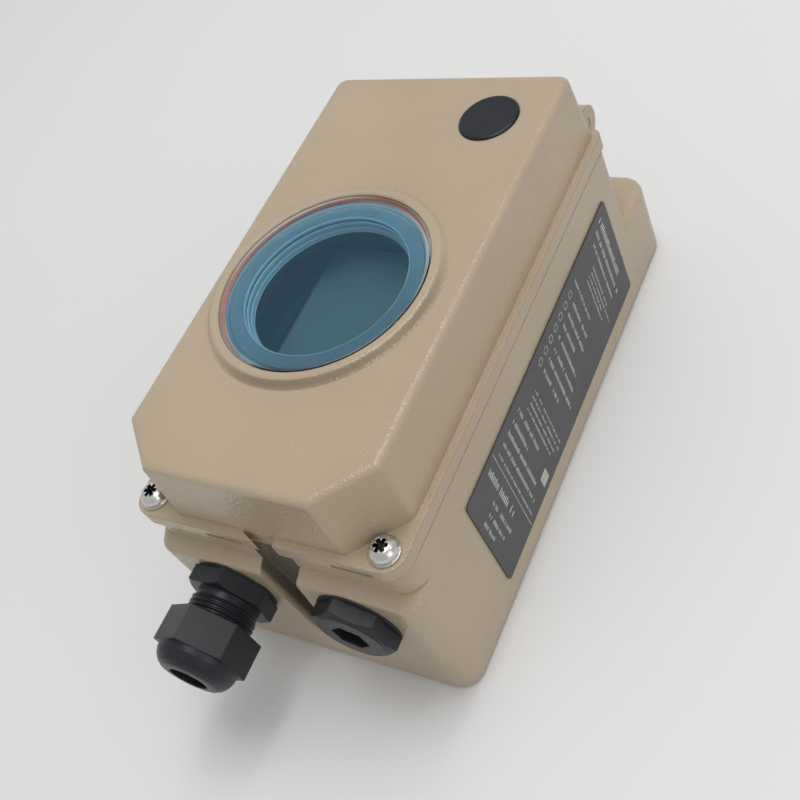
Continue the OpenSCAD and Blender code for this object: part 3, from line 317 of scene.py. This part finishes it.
drifting("cast_paint", **BEIGE)
# the base gets a dark painted shade in the slot between the cable entries
drifting("cast_paint_base", **BEIGE, local=[(slot_shade, SLOT_PAINTED_SHADE)])
# the cover gets a painted shade on the near right of the ring's slope
drifting("cast_paint_cover", **BEIGE, local=[(ring_slope_shade, FOOT_PAINTED_SHADE)])
print("paint", [name for name in finishes if name.startswith("cast")])

# %% [markdown]
# ## Plastics and rubber
# Gland, plug and knob are black moulded polyamide with a faint spark-eroded grain. The rubber is duller
# and the small plastic parts inside are smoother. They share the drifting finish and differ in its numbers.

# %% Plastics
SMALL_PLASTIC = dict(patch=70, rough=(0.34, 0.46), grain=2400, depth=0.02, edge=0.2)
drifting(
    "black_polyamide", dark=(0.008, 0.0095, 0.0125), light=(0.014, 0.0165, 0.021), patch=60,
    rough=(0.30, 0.44), grain=2600, depth=0.03, edge=0.5, Specular_IOR_Level=0.34,
)
drifting(
    "black_rubber", dark=(0.012, 0.012, 0.012), light=(0.022, 0.021, 0.021), patch=80,
    rough=(0.62, 0.78), grain=1800, depth=0.04, edge=0.3,
)
drifting("light_plastic", dark=(0.60, 0.60, 0.57), light=(0.66, 0.66, 0.63), **SMALL_PLASTIC)
drifting("orange_plastic", dark=(0.74, 0.20, 0.02), light=(0.80, 0.25, 0.03), **SMALL_PLASTIC)
drifting(
    "panel_black", dark=(0.013, 0.015, 0.018), light=(0.020, 0.023, 0.027), patch=50,
    rough=(0.44, 0.58), grain=3000, depth=0.03, edge=0.3,
)
drifting(
    "terminal_green", dark=(0.03, 0.20, 0.08), light=(0.05, 0.25, 0.10), patch=70,
    rough=(0.38, 0.50), grain=2400, depth=0.03, edge=0.2,
)
drifting(
    "badge_black", dark=(0.010, 0.012, 0.017), light=(0.015, 0.018, 0.024), patch=90,
    rough=(0.26, 0.34), grain=1500, depth=0.01, edge=0.4, Specular_IOR_Level=0.3,
)
print("plastics", sorted(finishes))

# %% [markdown]
# ## The window's gasket
# A red rubber ring seals the glass. Its red shows along the outer edge only: further in it is painted pale,
# a painted light that lifts the shade of the cover's ring there, and towards the near right a painted
# shade darkens it. Two masks by place bring those tints in.

# %% Gasket
GASKET_EDGE, GASKET_SOFT, GASKET_SHADE_BAND = 30.7, 0.3, (0.55, 0.95)
# pale painted light for the gasket's core, and a painted shade for its near right
CORE_PAINTED_LIGHT, GASKET_PAINTED_SHADE = (0.78, 0.78, 0.78), (0.26, 0.215, 0.23)


def gasket_core(place):
    """1 on the part of the window's gasket that lies inside its coloured outer edge."""
    x, y, _ = place.parts()
    return 1 - far_from(x, y, window_axis).band(GASKET_EDGE - GASKET_SOFT, GASKET_EDGE)


def gasket_near_shade(place):
    """1 on the near right of the gasket, where shade is painted, with a quicker change than the near side
    itself.
    """
    return near_side(place).band(*GASKET_SHADE_BAND)


# the core is painted pale to lift the shade of the cover's ring, and the near right gets a painted shade
drifting(
    "red_rubber", dark=(0.74, 0.36, 0.31), light=(0.80, 0.42, 0.36), patch=80,
    rough=(0.50, 0.66), grain=1800, depth=0.03, edge=0.2,
    local=[(gasket_core, CORE_PAINTED_LIGHT), (gasket_near_shade, GASKET_PAINTED_SHADE)],
)
print("gasket is red outside", GASKET_EDGE, "mm")

# %% [markdown]
# ## Metals
# Screws, pins and the lever are stainless steel, the blocks inside are milled aluminium, and the bush
# and the vent are sintered bronze. Metal shows little colour of its own, so the roughness matters most:
# it drifts with fine noise, as handling and machining leave it. Down in the drive of a cover screw a dark
# painted shade stands for the shade in its pit, which a mask by place gives.

# %% Metals
STEEL = dict(
    dark=(0.62, 0.61, 0.59), light=(0.72, 0.71, 0.69), patch=300,
    rough=(0.14, 0.30), grain=3000, depth=0.01, edge=0.3, Metallic=1,
)
screw_low, screw_high = place_of("cover_screws")
head_radius = (screw_high[1] - screw_low[1]) / 2
screw_axis = (screw_high[0] - head_radius, screw_high[1] - head_radius)
PIT_RADIUS, PIT_RIM, PIT_DEPTH, PIT_SOFT = 2.2, 0.1, (2.2, 0.6), 0.3
# colour of the painted shade down in the screws' drive
PIT_PAINTED_SHADE = (0.07, 0.07, 0.07)


def screw_pit_shade(place):
    """1 down in the drive of both cover screws, which mirror each other in x: where shade is painted."""
    x, y, z = place.parts()
    near = 1 - far_from(x.size(), y, screw_axis).band(PIT_RADIUS - PIT_RIM, PIT_RADIUS)
    return near * z.inside(screw_high[2] - PIT_DEPTH[0], screw_high[2] - PIT_DEPTH[1], PIT_SOFT)


drifting("bright_steel", **STEEL)
# the cover screws get a dark painted shade down in their drive
drifting("screw_steel", **STEEL, local=[(screw_pit_shade, PIT_PAINTED_SHADE)])
drifting(
    "aluminium", dark=(0.66, 0.67, 0.68), light=(0.74, 0.75, 0.76), patch=120,
    rough=(0.28, 0.42), grain=2600, depth=0.02, edge=0.4, Metallic=1,
)
drifting(
    "bronze", dark=(0.48, 0.30, 0.14), light=(0.58, 0.38, 0.19), patch=400,
    rough=(0.36, 0.52), grain=3500, depth=0.05, edge=0.2, Metallic=1,
)
drifting(
    "plate_grey", dark=(0.040, 0.043, 0.045), light=(0.052, 0.055, 0.057), patch=40,
    rough=(0.36, 0.46), grain=3200, depth=0.01, edge=0.2,
)
print("metals and plate", len(finishes), "finishes, cover screws at", [round(v, 1) for v in screw_axis])

# %% [markdown]
# ## Board and display
# The board is green lacquer over copper that shows as a faint lighter net, and the display is a grey
# liquid-crystal cell that is switched off. Both are flat, so all that they show is in the finish.

# %% Board
LACQUER, TRACK = (0.012, 0.105, 0.045, 1), (0.030, 0.180, 0.085, 1)
NET_SCALE, NET_BAND, BOARD_ROUGH, BOARD_SWELLS = 260, (0.18, 0.30), (0.30, 0.45), 500
shader, place = open_finish("board_green")
net = {"distance": "MANHATTAN", "feature": "F1"}
cells = place.node("TexVoronoi", net, {"Vector": place, "Scale": NET_SCALE})
tracks = 1 - cells.band(*NET_BAND)
feed(tracks.blend(LACQUER, TRACK), shader, "Base Color")
drift_roughness(shader, place, BOARD_ROUGH, BOARD_SWELLS)
print("board", len(finishes))

# %% Display
cell_low, cell_high = place_of("display_glass")
# a painted shadow of the frame along the display's edge
SHADOW_WIDTH, SHADOW_SOFT, FRAME_PAINTED_SHADOW = 2.4, 1.6, (0.015, 0.017, 0.020)


def frame_shadow_mask(place):
    """1 along the edge of the display, where the shadow of its frame is painted, and 0 inside."""
    x, y, _ = place.parts()
    across = x.inside(cell_low[0] + SHADOW_WIDTH, cell_high[0] - SHADOW_WIDTH, SHADOW_SOFT)
    along = y.inside(cell_low[1] + SHADOW_WIDTH, cell_high[1] - SHADOW_WIDTH, SHADOW_SOFT)
    return 1 - across * along


# the display gets a painted shadow of its frame along its edge
drifting(
    "display_grey", dark=(0.213, 0.212, 0.158), light=(0.246, 0.244, 0.185), patch=60,
    rough=(0.16, 0.24), grain=600, depth=0.01, edge=0.3, local=[(frame_shadow_mask, FRAME_PAINTED_SHADOW)],
)
print("display", [round(v, 1) for v in cell_low], [round(v, 1) for v in cell_high])

# %% [markdown]
# ## Glass and film
# The window is thick safety glass with a thin blue film that keeps it clean until the part is fitted.
# Glass that really bends light keeps the lamps out of the space behind it, so shadow rays pass straight
# through. The film tints what lies under it and scatters a little blue light itself: a clear and a
# glossy shader are mixed in a fixed share. Light crosses both faces of the film on its way in and again
# on its way out, so the tint of one face is the fourth root of what is seen.

# %% Glass
GLASS_TINT, SHADOW_TINT, GLASS_IOR = (0.95, 0.985, 0.98, 1), (0.92, 0.96, 0.96, 1), 1.5
FILM_BLUE, FILM_TINT, FILM_SHARE = (0.16, 0.30, 0.46, 1), (0.663, 0.792, 0.854, 1), 0.06
FILM_ROUGH, FILM_SWELLS = (0.10, 0.24), 120


def clear_mix(place, share, first, second):
    """Show the shader first where share is 0 and second where it is 1, in place of the plain one."""
    mixed = place.node("MixShader", None, {0: share, 1: first, 2: second})
    place.tree.links.new(mixed.socket, place.tree.nodes["Material Output"].inputs["Surface"])


shader, place = open_finish("window_glass")
settle(shader, Transmission_Weight=1, IOR=GLASS_IOR, Roughness=0.0, Base_Color=GLASS_TINT)
shadow_ray = place.node("LightPath", out="Is Shadow Ray")
clear = place.node("BsdfTransparent", None, {"Color": SHADOW_TINT})
clear_mix(place, shadow_ray, Wire(place.tree, shader.outputs[0]), clear)

shader, place = open_finish("blue_film")
settle(shader, Base_Color=FILM_BLUE, Specular_IOR_Level=0.5)
drift_roughness(shader, place, FILM_ROUGH, FILM_SWELLS)
clear = place.node("BsdfTransparent", None, {"Color": FILM_TINT})
clear_mix(place, FILM_SHARE, clear, Wire(place.tree, shader.outputs[0]))
print("glass and film", len(finishes))

# %% [markdown]
# ## Finishes onto solids
# Each solid arrives with a plain material that carries the name of its slot in the record, so the
# finish of that name takes its place. Three solids have a variant of their own, and the hinge pins are
# painted over with the case.

# %% Dress the solids
OWN = {
    "base_housing": "cast_paint_base", "front_cover": "cast_paint_cover", "cover_screws": "screw_steel",
    "hinge_pins": "cast_paint",
}
dressed = {}
for name, solid in nodes.items():
    slot = solid.material_slots[0].material.name.split(".")[0]
    solid.material_slots[0].material = finishes[OWN.get(name, slot)]
    dressed.setdefault(slot, []).append(name)
print({slot: len(names) for slot, names in dressed.items()})

# %% [markdown]
# ## Surfaces from grids
# Most new pieces below are grids of points that a formula gives, so one helper joins any grid into a
# mesh: each point with its neighbours, and the last row or column with the first where the piece
# closes on itself. Points that fall together at a pole are welded. Whole arrays keep it short and fast.

# %% Grid helper
WELD_GAP, CREASE = 1e-7, math.radians(35)
ACROSS = {"y": ((0, 0, 1), (1, 0, 0), (0, 1, 0)), "z": ((1, 0, 0), (0, 1, 0), (0, 0, 1))}


def skin(name, points, finish, around=True, along=True):
    """Quads between the points [row, column]; around closes the columns on themselves and along the rows."""
    rows, cols = points.shape[:2]
    row = np.arange(rows if along else rows - 1)[:, None]
    col = np.arange(cols if around else cols - 1)[None, :]
    up, on = (row + 1) % rows, (col + 1) % cols
    corners = [row * cols + col, row * cols + on, up * cols + on, up * cols + col]
    faces = np.stack([np.broadcast_to(c, (row.size, col.size)) for c in corners], -1).reshape(-1, 4)
    mesh = bpy.data.meshes.new(name)
    mesh.from_pydata(points.reshape(-1, 3).tolist(), [], faces.tolist())
    weld = bmesh.new()
    weld.from_mesh(mesh)
    bmesh.ops.remove_doubles(weld, verts=weld.verts, dist=WELD_GAP)
    bmesh.ops.recalc_face_normals(weld, faces=weld.faces)
    weld.to_mesh(mesh)
    weld.free()
    mesh.shade_smooth()
    mesh.set_sharp_from_angle(angle=CREASE)
    return shown(name, mesh, finish)


def shown(name, mesh, finish):
    """An object of this mesh with its finish, linked into the scene."""
    mesh.materials.append(finish)
    piece = bpy.data.objects.new(name, mesh)
    bpy.context.scene.collection.objects.link(piece)
    return piece


def round_points(radius, rise, turn, centre, axis):
    """Points round an axis: centre + rise along the axis + radius * (cos turn, sin turn) across it, in mm."""
    first, second, up = (np.array(v, float) for v in ACROSS[axis])
    out = radius[..., None] * (np.cos(turn)[..., None] * first + np.sin(turn)[..., None] * second)
    return (np.array(centre) + out + rise[..., None] * up) * MM


print("grid helper ready")

# %% [markdown]
# ## The seat behind the window
# Through the film a grey machined ring shows round the opening, with a painted shade that darkens it on
# the near right. The opening's wall is stepped in narrowing ridges of a paler ring that catch the light on
# the far side, above a black skirt that stands in for the shade deeper in the opening. All three are
# closed profiles turned about the window's axis: each runs down its visible side and back inside the wall.

# %% Seat ring and sight tube
MACHINED = dict(patch=90, grain=2500, depth=0.01, edge=0.2)
# painted shade that darkens the seat ring on its near right
SEAT_PAINTED_SHADE = (0.26, 0.235, 0.23)
drifting(
    "bare_seat", dark=(0.33, 0.335, 0.34), light=(0.37, 0.375, 0.38), rough=(0.42, 0.55), **MACHINED,
    local=[(near_side, SEAT_PAINTED_SHADE)],
)
drifting("pale_tube", dark=(0.80, 0.81, 0.81), light=(0.86, 0.87, 0.87), rough=(0.20, 0.30), **MACHINED)
gasket_low = place_of("window_gasket")[0]
window_spot = (*window_axis, gasket_low[2])
SEAT = np.array([[29.1, 0.42], [24.95, 0.42], [24.95, -0.5], [29.1, -0.5]])
TUBE = np.array([
    [24.9, 0.44], [24.6, 0.35], [24.5, 0.1], [24.5, -0.3],
    [24.75, -0.45], [24.75, -0.95], [24.3, -1.15], [24.15, -1.4], [24.15, -2.2],
    [24.5, -2.4], [24.5, -2.9], [24.0, -3.1], [23.9, -3.3], [23.9, -3.9],
    [24.05, -4.1], [23.7, -4.4], [25.2, -4.4], [25.2, -0.6], [24.9, -0.6],
])
# a black ring below the ridges that stands in for the shade deeper in the opening
SHADE_SKIRT = np.array([[23.75, -4.45], [23.75, -6.7], [25.2, -6.7], [25.2, -4.45]])
TURNED = {
    "seat_ring": (SEAT, "bare_seat"), "sight_tube": (TUBE, "pale_tube"), "tube_shade_skirt": (SHADE_SKIRT, "panel_black"),
}
TURNED_STEPS = 160


def turned(name, profile, spot, finish):
    """A closed profile of radius and height, carried once round a vertical axis through the spot."""
    once = np.linspace(0, FULL_TURN, TURNED_STEPS, endpoint=False)
    turn = np.broadcast_to(once, (len(profile), TURNED_STEPS))
    radius, rise = (np.broadcast_to(profile[:, i, None], turn.shape) for i in (0, 1))
    return skin(name, round_points(radius, rise, turn, spot, "z"), finish)


for name, (profile, finish) in TURNED.items():
    piece = turned(name, profile, window_spot, finishes[finish])
    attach(piece, "cover")
    print(name, len(piece.data.polygons), "faces")

# %% [markdown]
# ## The film on the window
# A protective film is laid by hand: it sits off centre, its cut edge wavers and a few bubbles lift it. Its
# solid touches the glass along a whole face, and two clear faces in one place confuse the light, so
# this sheet stands in for it a hair above the glass. It is a closed disc in polar form: rings out along
# the top and back along the underside.

# %% Film sheet
FILM_RADIUS, FILM_THICK, FILM_LIFT, FILM_OFF = 29.9, 0.1, 0.04, (0.6, -0.6)
WAVER = [(0.10, 3, 0.4), (0.05, 11, 0.0)]
RINGS, SPOKES = 70, 224
BUBBLE_RISE = 0.06
BUBBLES = np.array([
    [-17.5, 9.0, 0.7], [-20.5, 1.5, 0.6], [-13.0, -14.0, 0.8], [8.0, 17.0, 0.6],
    [18.0, -3.0, 0.7], [2.5, -20.5, 0.6], [-4.0, 22.5, 0.8], [14.5, 12.5, 0.5],
])


def bubble_swell(x, y):
    """How far bubbles lift the film: a bell curve about each, with its own width, all added up."""
    away = (x[..., None] - BUBBLES[:, 0]) ** 2 + (y[..., None] - BUBBLES[:, 1]) ** 2
    return BUBBLE_RISE * np.exp(-away / (2 * BUBBLES[:, 2] ** 2)).sum(-1)


share = np.concatenate([np.linspace(0, 1, RINGS), np.linspace(1, 0, RINGS)])[:, None]
top = np.repeat([1.0, 0.0], RINGS)[:, None]
turn = np.linspace(0, FULL_TURN, SPOKES, endpoint=False)[None, :]
radius = share * (FILM_RADIUS + sum(deep * np.sin(waves * turn + start) for deep, waves, start in WAVER))
rise = FILM_LIFT + FILM_THICK * top + bubble_swell(radius * np.cos(turn), radius * np.sin(turn))
film_spot = (window_axis[0] + FILM_OFF[0], window_axis[1] + FILM_OFF[1], window_high[2])
film_points = round_points(radius, rise, np.broadcast_to(turn, radius.shape), film_spot, "z")
sheet = skin("film_sheet", film_points, finishes["blue_film"], along=False)
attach(sheet, "cover")
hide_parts("protective_film")
print("film sheet", len(sheet.data.polygons), "faces")

# %% [markdown]
# ## Thread on the gland's neck
# Between the gland's fixed hexagon and its nut a few turns of thread show. A thread is a ridge that
# climbs by one pitch in each turn: the radius at a point depends on its height less its share of a
# turn. The ridge fades out where the neck runs smooth into the hexagon.

# %% Neck thread
NECK_RADIUS, NECK_WALL, CREST, PITCH, FLANK, FLAT = 9.45, 0.3, 0.68, 1.5, 1.7, 0.25
IN_NUT, HEXAGON_THICK, HEXAGON_GAP = 3.5, 5.3, 0.2
SMOOTH_NECK, RUN_OUT, RUN_IN = 1.9, 0.6, 0.2
NECK_RINGS, NECK_SPOKES = 110, 96
nut_low, nut_high = place_of("gland_nut")
washer_low = place_of("gland_washer")[0]
neck_near, neck_far = nut_high[1] - IN_NUT, washer_low[1] - HEXAGON_THICK - HEXAGON_GAP
neck_spot = ((nut_low[0] + nut_high[0]) / 2, 0, (nut_low[2] + nut_high[2]) / 2)


def thread_radius(rise, turn):
    """The neck's radius plus a ridge: its phase is rise / pitch less the share of a turn, its height climbs and
    falls with the phase and is cut flat at crest and root, and it fades out at both ends."""
    phase = np.mod(rise / PITCH - turn / FULL_TURN, 1)
    ridge = np.clip(FLANK * (1 - np.abs(2 * phase - 1)) - FLAT, 0, 1)
    leave = np.clip((neck_far - SMOOTH_NECK - rise) / RUN_OUT, 0, 1)
    enter = np.clip((rise - neck_near) / RUN_IN, 0, 1)
    return NECK_RADIUS + CREST * ridge * leave * enter


rise, turn = np.meshgrid(
    np.linspace(neck_near, neck_far, NECK_RINGS), np.linspace(0, FULL_TURN, NECK_SPOKES, endpoint=False),
    indexing="ij",
)
outer = round_points(thread_radius(rise, turn), rise, turn, neck_spot, "y")
bore = np.full((2, NECK_SPOKES), NECK_RADIUS - NECK_WALL)
inner = round_points(bore, rise[[-1, 0]], turn[:2], neck_spot, "y")
thread = skin("gland_thread", np.concatenate([outer, inner]), finishes["black_polyamide"])
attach(thread, "base")
print("neck thread", round(neck_far - neck_near, 1), "mm long")

# %% [markdown]
# ## Marks on the side plate
# The plate on the long side is printed with rows of fine light marks and a column of tick boxes. Each
# row is a chain of plain strokes with gaps. The print could be part of the finish, but as thin bars set
# into the plate it keeps its sharp edges at any distance. The rows come in blocks of even pitch. A row is
# four numbers: its distance from the plate's far end, its height, and where it starts and ends across.

# %% Rows of marks
BOX_FIRST, BOX_PITCH, BOX_COUNT = 34.0, 4.2, 7
BOX_START, BOX_SIDE, BOX_LINE = 3.6, 2.4, 0.28
# first row, pitch, height, start, and the end of each row
BLOCKS = [
    (5.4, 0.0, 2.4, 3.0, [29.0]),
    (9.5, 0.0, 1.5, 4.0, [33.0]),
    (13.2, 0.0, 1.2, 5.0, [31.0]),
    (17.6, 1.8, 0.8, 11.0, [30.0, 36.0, 28.0, 31.0]),
    (29.0, 0.0, 1.1, 4.0, [23.0]),
    (BOX_FIRST, BOX_PITCH, 1.4, 8.5, [26.0, 28.0, 23.0, 29.0, 31.0, 34.0, 25.0]),
    (66.5, 2.1, 0.8, 8.5, [36.0, 37.0, 35.0, 33.0]),
    (76.4, 4.0, 1.4, 4.0, [26.0, 19.0]),
    (84.2, 0.0, 1.4, 4.0, [32.0]),
    (88.0, 0.0, 1.3, 4.0, [36.0]),
    (91.6, 0.0, 0.8, 4.0, [37.0]),
    (97.8, 0.0, 2.4, 3.0, [27.0]),
    (102.4, 3.4, 1.3, 12.0, [29.0, 27.0]),
    (109.0, 0.0, 1.3, 12.0, [23.0]),
]
rows = np.array([
    [first + pitch * i, tall, start, end]
    for first, pitch, tall, start, ends in BLOCKS for i, end in enumerate(ends)
])
box_rows = BOX_FIRST + BOX_PITCH * np.arange(BOX_COUNT)
WHOLE_BARS = np.array([[93.8, 0.25, 1.0, 39.0], [79.5, 4.2, 33.0, 37.4]])
print("rows", len(rows), "boxes", len(box_rows))

# %% [markdown]
# All bars are worked out at once as whole arrays. A bar is again four numbers in the same order as a
# row's. The strokes look irregular, but they come from a formula, so every run gives the same ones.

# %% Strokes and boxes
MOST_STROKES, STROKE_STEP, STROKE_SHARE, LEAST_TALL, GAPS = 80, 0.3, 0.58, 0.7, 1 / 6
SCATTER, SECOND_DRAW = (12.9898, 78.233, 43758.5453), 7


def strokes(rows):
    """Strokes along each row: their step is STROKE_STEP plus a third of the row's height, one in six is skipped
    for a gap, and each stands on the row's foot with a height drawn from the fractions of a fast sine."""
    along, tall, start, end = (rows[:, i, None] for i in range(4))
    step = np.arange(MOST_STROKES)[None, :]
    pitch = STROKE_STEP + tall / 3
    chance = np.mod(np.sin(step * SCATTER[0] + along * SCATTER[1]) * SCATTER[2], 1)
    begin = start + step * pitch
    high = tall * (LEAST_TALL + (1 - LEAST_TALL) * np.mod(chance * SECOND_DRAW, 1))
    keep = (begin + pitch < end) & (chance > GAPS)
    columns = (along + (tall - high) / 2, high, begin, begin + STROKE_SHARE * pitch)
    return np.stack([column[keep] for column in columns], 1)


def tick_boxes(along, start, side, line):
    """Four thin bars round each of a row of square boxes that start at the same distance across the plate."""
    one = np.ones_like(along)
    ends = [[along + s * (side - line) / 2, line * one, start * one, (start + side) * one] for s in (-1, 1)]
    sides = [[along, side * one, (start + d) * one, (start + d + line) * one] for d in (0, side - line)]
    return np.concatenate([np.stack(bar, 1) for bar in ends + sides])


bars = np.concatenate([strokes(rows), WHOLE_BARS, tick_boxes(box_rows, BOX_START, BOX_SIDE, BOX_LINE)])
print("bars", len(bars))

# %% Plate marks
PRINT_PROUD = 0.03
BAR_FACES = np.array([[0, 1, 2, 3], [7, 6, 5, 4], [4, 5, 1, 0], [5, 6, 2, 1], [6, 7, 3, 2], [7, 4, 0, 3]])
BAR_CORNERS = 8
plate_high = place_of("rating_plate")[1]
drifting(
    "plate_print", dark=(0.40, 0.41, 0.40), light=(0.50, 0.51, 0.50), patch=200,
    rough=(0.45, 0.55), grain=3000, depth=0.01, edge=0.1,
)


def plate_bars(table):
    """A bar's eight corners from its row: distance from the far end, width, start and end across the plate; four
    stand proud of the plate's face and four lie as deep under it."""
    along, wide, start, end = table.T
    far, near = plate_high[1] - along + wide / 2, plate_high[1] - along - wide / 2
    top, low = plate_high[2] - start, plate_high[2] - end
    ring = [(near, low), (far, low), (far, top), (near, top)]
    levels = [np.full_like(along, plate_high[0] + s * PRINT_PROUD) for s in (1, -1)]
    return np.stack([np.stack([face, y, z], 1) for face in levels for y, z in ring], 1)


corners = plate_bars(bars) * MM
bar_faces = (np.arange(len(bars))[:, None, None] * BAR_CORNERS + BAR_FACES).reshape(-1, 4)
print_mesh = bpy.data.meshes.new("plate_marks")
print_mesh.from_pydata(corners.reshape(-1, 3).tolist(), [], bar_faces.tolist())
print_marks = shown("plate_marks", print_mesh, finishes["plate_print"])
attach(print_marks, "base")
print("plate marks", len(print_mesh.polygons), "faces")

# %% [markdown]
# ## Floor and light
# The photograph has a plain pale table and soft light from above and behind. The floor's own colour
# makes the background, so no lamp has to burn it out. One large lamp overhead gives the soft shadow
# on the near side, a narrow strip in it draws the bright lines along the painted edges, a weak lamp at
# the right opens the side with the plate, and an even sky fills the rest.

# %% Floor
HALF_FLOOR, FLOOR_POINTS = 3.0, 5
drifting(
    "table_top", dark=(0.71, 0.71, 0.71), light=(0.725, 0.725, 0.725), patch=3,
    rough=(0.55, 0.60), grain=400, depth=0.01, edge=0.1,
)
line = np.linspace(-HALF_FLOOR, HALF_FLOOR, FLOOR_POINTS)
x, y = np.meshgrid(line, line, indexing="xy")
floor_points = np.stack([x, y, np.zeros_like(x)], -1)
skin("floor", floor_points, finishes["table_top"], around=False, along=False)
print("floor", 2 * HALF_FLOOR, "m wide")

# %% Lamps
LAMPS = {
    "overhead": dict(spot=(0.10, 0.28, 1.25), aim=(0, 0, 0.04), sides=(0.8, 0.8), power=4.2),
    "strip": dict(spot=(0.06, 0.24, 1.25), aim=(0.06, 0.24, 0.04), sides=(0.18, 0.85), power=3.4),
    "side_fill": dict(spot=(1.1, -0.35, 0.7), aim=(0, 0, 0.04), sides=(0.7, 0.7), power=2.3),
}
SKY_WHITE, SKY_STRENGTH = (1.0, 1.0, 1.0, 1), 0.58


def soft_lamp(name, spot, aim, sides, power):
    """A lamp with two sides at spot that looks at aim, all in metres, power in watts."""
    lamp = bpy.data.lights.new(name, "AREA")
    lamp.shape, lamp.energy = "RECTANGLE", power
    lamp.size, lamp.size_y = sides
    made = bpy.data.objects.new(name, lamp)
    made.location = spot
    made.rotation_euler = (Vector(aim) - Vector(spot)).to_track_quat("-Z", "Y").to_euler()
    bpy.context.scene.collection.objects.link(made)


for name, lamp in LAMPS.items():
    soft_lamp(name, **lamp)
world = bpy.data.worlds.new("studio")
world.use_nodes = True
sky = world.node_tree.nodes["Background"]
sky.inputs["Color"].default_value = SKY_WHITE
sky.inputs["Strength"].default_value = SKY_STRENGTH
bpy.context.scene.world = world
bpy.context.scene.view_settings.view_transform = "Standard"
print("lamps", len(bpy.data.lights))
